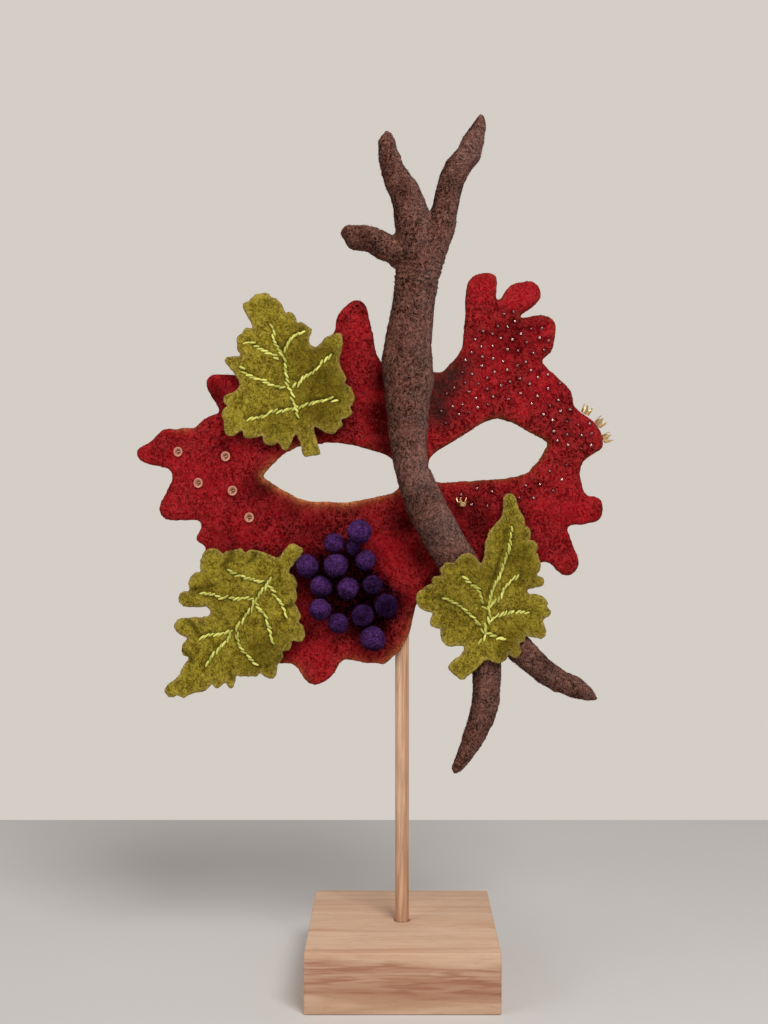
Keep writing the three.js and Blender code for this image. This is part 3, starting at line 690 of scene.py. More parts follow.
@dataclass(frozen=True)
class WoodLook:
    """Bare sanded wood, whose grain runs along one axis."""

    name: str
    pale: Colour
    body: Colour
    streak: Colour
    heart: Colour
    along: tuple[float, float, float]
    heart_share: float
    streak_share: float = 0.35
    heart_low: float = 0.0
    heart_high: float = 0.0
    heart_sway: float = 16 * MM
    heart_run: tuple[float, float, float] = (0.35, 1.0, 0.5)
    heart_waves: float = 38.0
    heart_blur: float = 1.5 * MM
    heart_least: float = 0.35
    pore_share: float = 0.4
    bump: float = 0.25
    depth: float = 0.06 * MM
    roughness: tuple[float, float] = (0.5, 0.66)
    specular: float = 0.35
    stops: tuple[float, float, float] = (0.36, 0.52, 0.66)

    def material(self, grain: Grain) -> bpy.types.Material:
        """Make the wood's material.

        Args:
            grain: The pattern that it is made from.

        Returns:
            The material.
        """
        material, nodes, skin = new_material(self.name)
        pattern = nodes.group(grain.tree, Place=nodes.place(), Along=self.along).outputs
        colour = nodes.ramp(pattern["Bands"], tuple(zip(self.stops, (self.pale, self.body, self.streak))))
        streaks = nodes.math("MULTIPLY", pattern["Streaks"], self.streak_share)
        colour = nodes.mix(streaks, colour, self.streak)
        colour = nodes.mix(self._heart(nodes, pattern), colour, self.heart)
        colour = nodes.mix(nodes.math("MULTIPLY", pattern["Pores"], self.pore_share), colour, self.heart)
        nodes.wire(colour, skin.inputs["Base Color"])
        nodes.wire(nodes.bump(pattern["Streaks"], self.bump, self.depth), skin.inputs["Normal"])
        nodes.wire(nodes.span(pattern["Streaks"], 0.0, 1.0, *self.roughness), skin.inputs["Roughness"])
        skin.inputs["Specular IOR Level"].default_value = self.specular
        return material

    def _heart(self, nodes: Nodes, pattern: object) -> bpy.types.NodeSocket:
        """Find the darker heartwood, a wavy layer between two heights.

        Args:
            nodes: The tree that it is made in.
            pattern: The grain's outputs.

        Returns:
            1 in the heartwood and 0 outside it.
        """
        parts = nodes.add("ShaderNodeSeparateXYZ")
        nodes.wire(nodes.place(), parts.inputs[0])
        slow = nodes.noise(nodes.stretch(nodes.place(), self.heart_run), self.heart_waves, 2.0)
        sway = nodes.math("MULTIPLY", nodes.math("SUBTRACT", slow, 0.5), self.heart_sway)
        height = nodes.math("ADD", parts.outputs["Z"], sway)
        rise = nodes.span(height, self.heart_low - self.heart_blur, self.heart_low + self.heart_blur)
        high = self.heart_high
        fall = nodes.span(height, high - self.heart_blur, high + self.heart_blur, 1.0, 0.0)
        layer = nodes.math("MULTIPLY", rise, fall)
        least = self.heart_least * self.heart_share
        uneven = nodes.span(pattern["Streaks"], 0.0, 1.0, least, self.heart_share)
        return nodes.math("MULTIPLY", layer, uneven)


def new_material(name: str) -> tuple[bpy.types.Material, Nodes, bpy.types.Node]:
    """Start a material.

    Args:
        name: Its name.

    Returns:
        The material, its nodes and its shader.
    """
    material = bpy.data.materials.new(name)
    material.use_nodes = True
    nodes = Nodes(material.node_tree)
    return material, nodes, material.node_tree.nodes["Principled BSDF"]


@dataclass(frozen=True)
class MetalLook:
    """A small bright metal or pearl part, whose copies differ a little."""

    name: str
    dark: Colour
    light: Colour
    metallic: float = 1.0
    roughness: float = 0.28
    coat: float = 0.0
    grit: float = 2600.0
    copies_share: float = 0.5
    well_share: float = 0.8
    well_shade: float = 0.45
    polish: tuple[float, float] = (0.7, 1.4)

    def material(self) -> bpy.types.Material:
        """Make the material.

        Returns:
            The material.
        """
        material, nodes, skin = new_material(self.name)
        cloud = nodes.noise(nodes.place(), self.grit, 2.0)
        share = nodes.blend(cloud, nodes.attribute("tone"), self.copies_share)
        colour = nodes.mix(nodes.span(share, *COPIES_RANGE), self.dark, self.light)
        # Painted shade in the well of a sequin's cup.
        hollow = nodes.math("MULTIPLY", nodes.attribute("well"), self.well_share)
        colour = nodes.mix(hollow, colour, tuple(self.well_shade * part for part in self.dark))
        nodes.wire(colour, skin.inputs["Base Color"])
        low, high = (self.roughness * share for share in self.polish)
        nodes.wire(nodes.span(cloud, 0.3, 0.7, low, high), skin.inputs["Roughness"])
        skin.inputs["Metallic"].default_value = self.metallic
        skin.inputs["Coat Weight"].default_value = self.coat
        return material


@dataclass(frozen=True)
class ThreadLook:
    """Stranded embroidery thread."""

    name: str
    dark: Colour
    light: Colour
    ply: float = 2400.0
    copies_share: float = 0.4
    bump: float = 0.6
    depth: float = 0.12 * MM
    roughness: float = 0.62
    sheen: float = 0.2

    def material(self) -> bpy.types.Material:
        """Make the material.

        Returns:
            The material.
        """
        material, nodes, skin = new_material(self.name)
        cloud = nodes.noise(nodes.place(), self.ply, 2.0, 0.8)
        share = nodes.blend(cloud, nodes.attribute("tone"), self.copies_share)
        colour = nodes.mix(nodes.span(share, *COPIES_RANGE), self.dark, self.light)
        nodes.wire(colour, skin.inputs["Base Color"])
        nodes.wire(nodes.bump(cloud, self.bump, self.depth), skin.inputs["Normal"])
        skin.inputs["Roughness"].default_value = self.roughness
        skin.inputs["Sheen Weight"].default_value = self.sheen
        return material


# Of the red felt's tints, the shade, the near-black among the grapes and the dark round each bead are
# painted shade; the rest are colours of the wool.
RED_FELT = FeltLook(
    "red_felt", deep=(0.045, 0.0008, 0.001), body=(0.13, 0.002, 0.003), bright=(0.3, 0.006, 0.01),
    strand=(0.47, 0.038, 0.04), strand_share=0.58, patches=85.0, strands=400.0, lie=(1.0, 1.0, 0.9),
    tints=(
        Tint("flush", (0.43, 0.008, 0.017), 0.55), Tint("bark", (0.045, 0.017, 0.014), 1.15),
        Tint("shade", (0.026, 0.0006, 0.0008), 1.0), Tint("bunch", (0.005, 0.0003, 0.003), 1.25),
        Tint("rim", (0.16, 0.02, 0.012), 0.35), Tint("moss", (0.13, 0.07, 0.012), 0.75),
        Tint("gold", (0.58, 0.22, 0.07), 0.75), Tint("tone", (0.58, 0.075, 0.08), 0.65),
        Tint("dusk", (0.05, 0.001, 0.001), 0.35), Tint("bead_shadow", (0.03, 0.001, 0.002), 0.75),
    ),
)
# Of the bark felt's tints, the grey is grey wool joined with painted light on the sides facing the key lamp,
# and the shade is painted shade on the sides turned away, joined with dark patches of the wool.
BARK_FELT = FeltLook(
    "bark_felt", deep=(0.012, 0.003, 0.002), body=(0.05, 0.011, 0.0065), bright=(0.135, 0.043, 0.03),
    strand=(0.34, 0.16, 0.118), strand_share=0.56, patches=130.0, strands=500.0, lie=(1.0, 1.0, 0.8),
    tints=(
        Tint("grey_and_painted_light", (0.29, 0.195, 0.18), 0.5), Tint("shade", (0.016, 0.004, 0.002), 0.85),
        Tint("tone", (0.52, 0.33, 0.28), 0.55), Tint("dusk", (0.012, 0.003, 0.002), 0.8),
    ),
    sheen_tint=(1.0, 0.92, 0.88),
)
# Of the leaf felt's tints, the shade and the groove are painted shade: where the leaves fold away from the
# light, and along the veins and creases.
LEAF_FELT = FeltLook(
    "leaf_felt", deep=(0.105, 0.07, 0.003), body=(0.2, 0.148, 0.008), bright=(0.32, 0.25, 0.022),
    strand=(0.46, 0.37, 0.06), strand_share=0.45, patches=200.0, strands=440.0, lie=(1.0, 1.0, 0.8),
    depth=0.5 * MM,
    tints=(
        Tint("shade", (0.07, 0.043, 0.002), 1.0), Tint("rim", (0.42, 0.3, 0.1), 0.5),
        Tint("groove", (0.045, 0.03, 0.002), 0.85), Tint("tone", (0.5, 0.42, 0.08), 0.5),
        Tint("dusk", (0.08, 0.055, 0.003), 0.6),
    ),
    sheen_tint=(1.0, 0.97, 0.8),
)
# The grape felt's shade tint is painted shade: on the balls' undersides, and on the balls that lie in
# shadow.
GRAPE_FELT = FeltLook(
    "grape_felt", deep=(0.006, 0.0008, 0.01), body=(0.03, 0.005, 0.056), bright=(0.075, 0.022, 0.13),
    strand=(0.22, 0.085, 0.32), strand_share=0.36, patches=330.0, strands=800.0, lie=(1.0, 1.0, 1.0),
    tints=(
        Tint("tone", (0.26, 0.14, 0.38), 0.4), Tint("dusk", (0.008, 0.001, 0.014), 0.7),
        Tint("shade", (0.003, 0.0003, 0.006), 1.1),
    ),
    sheen_tint=(0.85, 0.8, 1.0),
)
BLOCK_WOOD = WoodLook(
    "block_wood", pale=(0.68, 0.46, 0.32), body=(0.62, 0.4, 0.265), streak=(0.5, 0.285, 0.175),
    heart=(0.3, 0.1, 0.05), along=(0.07, 1.0, 1.0), heart_share=0.72,
    heart_low=6.5 * MM, heart_high=21.0 * MM,
)
ROD_WOOD = WoodLook(
    "rod_wood", pale=(0.74, 0.48, 0.32), body=(0.66, 0.39, 0.24), streak=(0.35, 0.17, 0.09),
    heart=(0.3, 0.13, 0.07), along=(1.6, 1.6, 0.07), heart_share=0.0, streak_share=0.65,
)
GOLD = MetalLook("crown_gold", dark=(0.62, 0.36, 0.12), light=(0.95, 0.72, 0.4), roughness=0.24)
COPPER_PEARL = MetalLook(
    "copper_pearl", dark=(0.42, 0.14, 0.07), light=(0.74, 0.35, 0.24), metallic=0.3, roughness=0.34, coat=0.2
)
SILVER_BEAD = MetalLook(
    "silver_bead", dark=(0.3, 0.1, 0.1), light=(0.88, 0.66, 0.62), metallic=0.9, roughness=0.16, coat=0.5
)
VEIN_THREAD = ThreadLook("vein_thread", dark=(0.36, 0.36, 0.035), light=(0.78, 0.76, 0.17))
COPPER_THREAD = ThreadLook("copper_thread", dark=(0.42, 0.2, 0.08), light=(0.75, 0.5, 0.25))


@dataclass(frozen=True)
class Lumps:
    """Soft lumps of a felted surface: how broad they are, and how far they rise and sink."""

    size: float
    height: float


def raise_lumps(piece: bpy.types.Object, lumps: Sequence[Lumps], octaves: int, level: float) -> None:
    """Raise and sink a piece's skin in soft lumps.

    Args:
        piece: The piece.
        lumps: The lumps, from broad to fine.
        octaves: How many sizes of clouds make each.
        level: The height of the clouds at which the skin stays where it is.
    """
    for k, lump in enumerate(lumps):
        cloud = bpy.data.textures.new(f"{piece.name}_lumps_{k}", "CLOUDS")
        cloud.noise_scale = lump.size
        cloud.noise_depth = octaves
        apply_modifier(
            piece, "DISPLACE", texture=cloud, texture_coords="LOCAL", strength=2 * lump.height,
            mid_level=level,
        )


@dataclass(frozen=True)
class Felting:
    """How a plain blank becomes felt: its skin is remade, its edges felted round and its face lumpy."""

    cell: float
    rounds: int
    lumps: tuple[Lumps, ...]
    octaves: int = 1
    level: float = 0.5

    def felt(self, blank: bpy.types.Object) -> None:
        """Felt a blank.

        Args:
            blank: The blank.
        """
        apply_modifier(blank, "REMESH", mode="VOXEL", voxel_size=self.cell, adaptivity=0.0)
        apply_modifier(blank, "SMOOTH", factor=0.5, iterations=self.rounds)
        raise_lumps(blank, self.lumps, self.octaves, self.level)
        smooth(blank)


class Surface:
    """A finished skin that rays meet and that threads, beads and fibres are laid on."""

    def __init__(self, piece: bpy.types.Object) -> None:
        """Read a piece's mesh.

        Args:
            piece: The piece.
        """
        mesh = piece.data
        self.mesh = mesh
        mesh.calc_loop_triangles()
        corners = np.empty(len(mesh.loop_triangles) * 3, dtype=np.int32)
        mesh.loop_triangles.foreach_get("vertices", corners)
        self.points = coordinates(mesh)
        self.corners = corners.reshape(-1, 3)
        self.tree = BVHTree.FromPolygons(self.points.tolist(), self.corners.tolist())

    def seen(self, place: Pixel) -> tuple[Vector, Vector] | None:
        """Find what the camera sees of this skin at a pixel.

        Args:
            place: The pixel.

        Returns:
            The point and its normal, or None where it is not seen.
        """
        point, normal, _, _ = self.tree.ray_cast(Vector(VIEW.eye), VIEW.ray(place))
        return None if point is None else (point, normal)

    def nearest(self, point: Vector) -> tuple[Vector, Vector]:
        """The skin's nearest point, and its normal."""
        found, normal, _, _ = self.tree.find_nearest(point)
        return found, normal

    def scatter(self, count: int, draw: np.random.Generator) -> tuple[np.ndarray, np.ndarray]:
        """Spread points evenly over the skin.

        Args:
            count: How many.
            draw: Where the random numbers come from.

        Returns:
            The points and their normals, a row for each.
        """
        a, b, c = (self.points[self.corners[:, k]] for k in range(3))
        cross = np.cross(b - a, c - a)
        size = np.linalg.norm(cross, axis=1)
        chosen = draw.choice(len(size), count, p=size / size.sum())
        u, v = draw.random((2, count))
        folded = u + v > 1
        u[folded], v[folded] = 1 - u[folded], 1 - v[folded]
        points = a[chosen] + u[:, None] * (b - a)[chosen] + v[:, None] * (c - a)[chosen]
        return points, cross[chosen] / size[chosen, None]


@dataclass(frozen=True)
class Pile:
    """Loose wool fibres on a felt: how many, how long and broad, and how they lie.

    A share of them are strays, which are shorter and thinner and rise off the felt. The lightest
    and the darkest are marked by a slope and a start on the number that each one draws.
    """

    count: int
    length: tuple[float, float]
    width: tuple[float, float]
    lie: tuple[float, float, float] = (0.0, 0.0, 1.0)
    wander: float = 0.7
    curl: float = 0.45
    lift: float = 0.12 * MM
    stray: float = 0.12
    rise: float = 0.45
    seed: int = 1

    NODES = 4
    CORNERS = 8
    THIRDS = (0.0, 2.0944, 4.18879)
    FLATNESS = 0.6
    END_LIFT = 0.2
    STRAY_LENGTH = 0.6
    STRAY_WIDTH = 0.45
    TONE = (2.2, -1.2)
    DUSK = (-2.8, 1.1)

    def lay(self, name: str, surface: Surface) -> bpy.types.Object:
        """Lay the fibres on a skin.

        Args:
            name: The new piece's name.
            surface: The skin.

        Returns:
            All the fibres as one piece. Attributes "tone" and "dusk" light and darken some.
        """
        draw = np.random.default_rng(self.seed)
        start, normal = surface.scatter(self.count, draw)
        length = draw.uniform(*self.length, self.count)
        stray = draw.random(self.count) < self.stray
        length[stray] *= self.STRAY_LENGTH
        way = np.array(self.lie) * draw.choice([-1.0, 1.0], self.count)[:, None]
        way = way + draw.normal(0.0, self.wander, (self.count, 3))
        spine = [start]
        step = (length / (self.NODES - 1))[:, None]
        up = normal
        for k in range(1, self.NODES):
            way = way + draw.normal(0.0, self.curl, way.shape)
            flat = way - up * (way * up).sum(1, keepdims=True)
            flat = flat / np.linalg.norm(flat, axis=1, keepdims=True)
            rise = np.where(stray, self.rise, 0.0)[:, None]
            ahead = spine[-1] + step * (flat * (1 - 0.5 * rise) + up * rise)
            settled = [surface.nearest(Vector(p)) for p in ahead]
            found = np.array([hit[0] for hit in settled])
            up = np.array([hit[1] for hit in settled])
            arch = self.lift * (1.0 if k < self.NODES - 1 else self.END_LIFT)
            spine.append(np.where(stray[:, None], ahead, found + up * arch))
        return self._needles(name, spine, normal, stray, draw)

    def _needles(
        self, name: str, spine: list[np.ndarray], normal: np.ndarray, stray: np.ndarray,
        draw: np.random.Generator,
    ) -> bpy.types.Object:
        """Skin the fibres, each pointed at both ends and three-sided between.

        Args:
            name: The new piece's name.
            spine: The places of each fibre's nodes, one array for each node.
            normal: Each fibre's normal where it starts.
            stray: Which fibres stand off. They are thinner.
            draw: Where the random numbers come from.

        Returns:
            The piece.
        """
        half = (draw.uniform(*self.width, self.count) / 2)[:, None]
        half[stray] *= self.STRAY_WIDTH
        rows = [spine[0]]
        for k in range(1, self.NODES - 1):
            along = spine[k + 1] - spine[k - 1]
            along = along / np.linalg.norm(along, axis=1, keepdims=True)
            side = np.cross(along, normal)
            side = side / np.maximum(np.linalg.norm(side, axis=1, keepdims=True), 1e-9)
            over = np.cross(along, side)
            for turn in self.THIRDS:
                off = math.cos(turn) * side + self.FLATNESS * math.sin(turn) * over
                rows.append(spine[k] + half * off)
        rows.append(spine[-1])
        points = np.stack(rows, 1).reshape(-1, 3)
        pattern = []
        for a, b in ((0, 1), (1, 2), (2, 0)):
            pattern += [(0, 1 + b, 1 + a), (1 + a, 1 + b, 4 + b), (1 + a, 4 + b, 4 + a), (4 + a, 4 + b, 7)]
        first = self.CORNERS * np.arange(self.count)[:, None, None]
        faces = (np.array(pattern)[None] + first).reshape(-1, 3)
        piece = mesh_piece(name, points, faces)
        drawn = draw.random(self.count)
        for layer, (slope, start) in (("tone", self.TONE), ("dusk", self.DUSK)):
            mark(piece.data, layer, np.repeat(np.clip(slope * drawn + start, 0, 1), self.CORNERS))
        smooth(piece)
        return piece


@dataclass(frozen=True)
class Spot:
    """A place on the photograph, the pixels it spreads over and how strong it is there."""

    x: float
    y: float
    spread: float
    amount: float = 1.0


def spotted(points: np.ndarray, spots: Sequence[Spot]) -> np.ndarray:
    """Work out how strongly spots of the photograph reach points.

    Args:
        points: One row of x, y and z for each point.
        spots: The spots.

    Returns:
        The strongest reach at each point.
    """
    seen = VIEW.pixels(points)
    reach = np.zeros(len(points))
    for spot in spots:
        off = ((seen - (spot.x, spot.y)) ** 2).sum(1)
        reach = np.maximum(reach, spot.amount * np.exp(-off / (2 * spot.spread**2)))
    return reach


@dataclass(frozen=True)
class Nudge:
    """A small pull on an outline, in pixels of the photograph, and the pixels it spreads over."""

    x: float
    y: float
    right: float
    down: float
    spread: float


def nudge(mesh: bpy.types.Mesh, nudges: Sequence[Nudge]) -> None:
    """Pull a mesh's outline to where the photograph has it, without changing any depth.

    Args:
        mesh: The mesh.
        nudges: The pulls.
    """
    points = coordinates(mesh)
    seen = VIEW.pixels(points)
    pixel = (points[:, 1] - VIEW.eye[1]) / VIEW.focal
    for pull in nudges:
        off = ((seen - (pull.x, pull.y)) ** 2).sum(1)
        share = np.exp(-off / (2 * pull.spread**2)) * pixel
        points[:, 0] += share * pull.right
        points[:, 2] -= share * pull.down
    move_vertices(mesh, points)


def cut_edge(mesh: bpy.types.Mesh) -> np.ndarray:
    """Which vertices of a sheet belong to its cut edge, because they look sideways."""
    return np.abs(normals(mesh)[:, 1]) < EDGE_LOOKS_ASIDE


def notched(mesh: bpy.types.Mesh, notches: Route, depth: float, spread: float) -> list[Nudge]:
    """Plan the notches between a leaf's scallops.

    Args:
        mesh: The leaf's mesh.
        notches: The pixels near which the cut edge is drawn in.
        depth: How many pixels it is drawn in.
        spread: Over how many pixels.

    Returns:
        A pull on the edge for each notch, towards the leaf's middle.
    """
    seen = VIEW.pixels(coordinates(mesh))
    middle = seen.mean(0)
    edge = seen[cut_edge(mesh)]
    pulls = []
    for place in notches:
        nearest = edge[((edge - place) ** 2).sum(1).argmin()]
        way = (middle - nearest) / np.linalg.norm(middle - nearest)
        pulls.append(Nudge(*nearest, *(depth * way), spread))
    return pulls


def hand_down(body: bpy.types.Object, fibres: bpy.types.Object) -> None:
    """Give loose fibres the marks of the felt that they grow from: its wool colours, and the shade and light
    painted on it.

    Args:
        body: The felt.
        fibres: Its fibres.
    """
    tree = KDTree(len(body.data.vertices))
    for k, place in enumerate(coordinates(body.data)):
        tree.insert(place, k)
    tree.balance()
    roots = coordinates(fibres.data)[:: Pile.CORNERS]
    nearest = [tree.find(place)[1] for place in roots]
    for layer in body.data.attributes:
        if layer.data_type == "FLOAT" and layer.name not in fibres.data.attributes:
            values = np.empty(len(body.data.vertices), dtype=np.float32)
            layer.data.foreach_get("value", values)
            mark(fibres.data, layer.name, np.repeat(values[nearest], Pile.CORNERS))


def distances(points: np.ndarray, others: np.ndarray) -> np.ndarray:
    """Measure how far points lie from the nearest of others.

    Args:
        points: One row for each point.
        others: One row for each point that they may be near.

    Returns:
        The distance of each point.
    """
    tree = KDTree(len(others))
    for k, place in enumerate(others):
        tree.insert(place, k)
    tree.balance()
    return np.array([tree.find(place)[2] for place in points])


def closeness(points: np.ndarray, others: np.ndarray, reach: float) -> np.ndarray:
    """How close points lie to others: 1 where they meet, and a third at the reach."""
    return np.exp(-distances(points, others) / reach)


def node_points(start: str) -> np.ndarray:
    """The vertices of all the frame's nodes whose names start with a word."""
    nodes = frame["nodes"]
    return np.concatenate([coordinates(nodes[name].data) for name in nodes if name.startswith(start)])


def rim_closeness(mesh: bpy.types.Mesh, reach: float) -> np.ndarray:
    """How close a sheet's vertices lie to its cut edge."""
    points = coordinates(mesh)
    return closeness(points, points[cut_edge(mesh)], reach)


def even_route(points: np.ndarray, step: float) -> np.ndarray:
    """Round off a route and walk it in even steps.

    Args:
        points: The route's corners, a row for each.
        step: The length of a step.

    Returns:
        The steps' places, a row for each.
    """
    for _ in range(2):
        near = 0.75 * points[:-1] + 0.25 * points[1:]
        far = 0.25 * points[:-1] + 0.75 * points[1:]
        middle = np.stack([near, far], 1).reshape(-1, 3)
        points = np.concatenate([points[:1], middle, points[-1:]])
    run = np.concatenate([[0.0], np.cumsum(np.linalg.norm(np.diff(points, axis=0), axis=1))])
    walk = np.arange(step / 2, run[-1], step)
    return np.stack([np.interp(walk, run, points[:, k]) for k in range(3)], 1)


def dress(
    piece: bpy.types.Object, material: bpy.types.Material, nodes: Sequence[str] = ()
) -> None:
    """Finish a piece: give it its material and its place in the frame.

    Args:
        piece: The piece.
        material: Its material.
        nodes: The nodes of the frame that it stands for.
    """
    piece.data.materials.clear()
    piece.data.materials.append(material)
    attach(piece, "root")
    if nodes:
        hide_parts(*nodes)
    LOG.info("%s: %d faces", piece.name, len(piece.data.polygons))


def half_area(piece: bpy.types.Object) -> float:
    """Half of a closed sheet's surface, in square metres."""
    return sum(face.area for face in piece.data.polygons) / 2


class Slot(Enum):
    """Names of material slots."""

    RED = "felt_red"
    BARK = "felt_bark"
    LEAF = "felt_leaf"
    GRAPE = "felt_grape"
    SEQUIN = "sequin"
    GOLD = "crown_gold"
    WOOD = "stand_wood"


@dataclass
class MaskBody:
    """The red felt face."""

    felting: Felting = Felting(1.0 * MM, 4, (Lumps(11 * MM, 0.35 * MM), Lumps(3.5 * MM, 0.22 * MM)))
    pile: Pile = Pile(
        15000, (1.4 * MM, 3.8 * MM), (0.1 * MM, 0.3 * MM), lie=(0.0, 0.0, 0.0), wander=1.0, stray=0.1,
        seed=11,
    )
    rim_reach: float = 0.7 * MM
    gold_reach: float = 1.2 * MM
    # How far the painted shade among the grapes reaches, and how strong it is.
    bunch_reach: float = 5.2 * MM
    bunch_gain: float = 1.4
    tree_reach: float = 1.2 * MM
    leaf_reach: float = 1.8 * MM
    rim_gain: float = 2.0
    front_facing: float = 0.3
    flat: tuple[float, float] = (0.225, 0.19)
    flat_area: float = 0.0202
    nudges: tuple[Nudge, ...] = (
        Nudge(528, 313, -9, 4, 4.5), Nudge(500, 296, -2, 4, 4), Nudge(141, 455, -3, -2, 7),
        Nudge(320, 681, -5, 2, 9), Nudge(199, 539, -1.5, 0, 3), Nudge(204, 531, 1.5, 0, 3),
        Nudge(386, 664, 0, 2, 8), Nudge(163, 434, -1, -3.5, 7), Nudge(327, 331, 7, 0, 8),
        Nudge(350, 303, 4, -1, 9),
    )
    gold: tuple[Spot, ...] = (
        Spot(268, 474, 9), Spot(285, 486, 10), Spot(300, 497, 11), Spot(322, 502, 13), Spot(348, 501, 13),
        Spot(372, 495, 12, 0.8), Spot(394, 492, 10, 0.6), Spot(185, 420, 8), Spot(400, 650, 22, 0.7),
        Spot(365, 655, 18, 0.5), Spot(300, 665, 14, 0.4), Spot(270, 462, 8, 0.6), Spot(300, 448, 10, 0.5),
    )
    moss: tuple[Spot, ...] = (
        Spot(455, 455, 16), Spot(500, 425, 26), Spot(540, 445, 22), Spot(545, 480, 18), Spot(470, 478, 16),
        Spot(510, 485, 24, 0.8), Spot(430, 480, 12, 0.8), Spot(445, 372, 10, 0.9), Spot(500, 300, 30, 0.4),
        Spot(548, 320, 16, 0.6), Spot(600, 440, 14, 0.6), Spot(340, 440, 30, 0.3),
    )
    flush: tuple[Spot, ...] = (
        Spot(170, 455, 26, 0.5), Spot(215, 475, 22, 0.8), Spot(240, 520, 18, 0.7), Spot(225, 385, 16, 0.8),
        Spot(545, 385, 14, 0.8), Spot(575, 520, 22, 0.9), Spot(345, 350, 14, 0.9), Spot(365, 390, 10, 0.6),
        Spot(385, 545, 12, 0.9), Spot(395, 560, 12, 0.6), Spot(290, 655, 16, 0.7), Spot(320, 665, 14, 0.6),
        Spot(500, 360, 16, 0.6), Spot(485, 290, 14, 0.5), Spot(520, 295, 14, 0.5), Spot(540, 330, 12, 0.7),
    )
    shade: tuple[Spot, ...] = (
        Spot(262, 488, 14, 0.9), Spot(290, 508, 14, 0.7), Spot(318, 530, 16, 0.7), Spot(352, 508, 16, 0.4),
        Spot(386, 340, 8, 0.9), Spot(382, 380, 10, 1.0), Spot(378, 415, 12, 1.0), Spot(384, 450, 12, 0.9),
        Spot(406, 522, 11, 1.0), Spot(420, 556, 12, 0.8), Spot(436, 582, 10, 0.9), Spot(478, 522, 12, 1.0),
        Spot(468, 506, 12, 0.6), Spot(512, 336, 16, 0.6), Spot(300, 400, 60, 0.2), Spot(214, 395, 12, 0.9),
        Spot(440, 470, 8, 0.6), Spot(228, 545, 20, 0.4), Spot(405, 600, 10, 0.6),
        Spot(533, 342, 2, 0.9), Spot(539, 340.5, 2, 0.9), Spot(545, 339, 2, 0.9), Spot(551, 337, 2, 0.9),
        Spot(300, 560, 22, 0.5), Spot(330, 545, 16, 0.4), Spot(375, 640, 22, 0.35), Spot(380, 430, 9, 0.9),
    )
    bark: tuple[Spot, ...] = (
        Spot(441, 386, 13, 1.0), Spot(452, 374, 11, 1.0), Spot(438, 412, 10, 1.0), Spot(462, 366, 10, 0.6),
        Spot(436, 400, 11, 1.0),
    )
    # Where the painted shade among the grapes is strongest.
    bunch: tuple[Spot, ...] = (Spot(346, 588, 26, 1.8), Spot(372, 604, 22, 1.6), Spot(322, 572, 18, 1.2))

    def build(self, looks: dict[str, bpy.types.Material]) -> Surface:
        """Build and dress the face.

        Args:
            looks: The materials, by name.

        Returns:
            The face's skin, for what is laid on it.
        """
        body = blank_of("mask_felt", "mask_body")
        self.felting.felt(body)
        nudge(body.data, self.nudges)
        self._colour(body)
        dress(body, looks["red_felt"], ["mask_felt"])
        surface = Surface(body)
        fibres = self.pile.lay("mask_fibres", surface)
        hand_down(body, fibres)
        dress(fibres, looks["red_felt"])
        LOG.info("mask sheet: half its surface is %.5f square metres", half_area(body))
        return surface

    def _colour(self, body: bpy.types.Object) -> None:
        """Mark where the face's wool changes colour, and where shade is painted on it: near the leaves,
        beside the tree and among the grapes.

        Args:
            body: The face.
        """
        mesh = body.data
        points = coordinates(mesh)
        front = normals(mesh)[:, 1] < self.front_facing
        rim = np.minimum(1.0, self.rim_gain * rim_closeness(mesh, self.rim_reach))
        tree = coordinates(frame["nodes"]["felt_branch"].data)
        broad = np.minimum(1.0, self.rim_gain * rim_closeness(mesh, self.gold_reach))
        mark(mesh, "rim", rim)
        mark(mesh, "gold", broad * spotted(points, self.gold))
        mark(mesh, "moss", rim * spotted(points, self.moss))
        mark(mesh, "flush", spotted(points, self.flush))
        beside = np.maximum(closeness(points, tree, self.tree_reach), spotted(points, self.bark))
        mark(mesh, "bark", beside * front)
        # Painted shade: the felt darkens near the leaves and at the listed spots, such as left of the tree
        # and in the slits between the fingers.
        leaves = closeness(points, node_points("leaf_"), self.leaf_reach)
        mark(mesh, "shade", front * np.maximum(leaves, spotted(points, self.shade)))
        # Painted shade among the grapes: the felt goes near-black close to them, most of all in the middle
        # of the cluster.
        among = distances(points, node_points("grape_")) / self.bunch_reach
        middle = np.minimum(1.0, spotted(points, self.bunch))
        near = np.minimum(1.0, self.bunch_gain * np.exp(-(among**4)))
        mark(mesh, "bunch", front * middle * near)


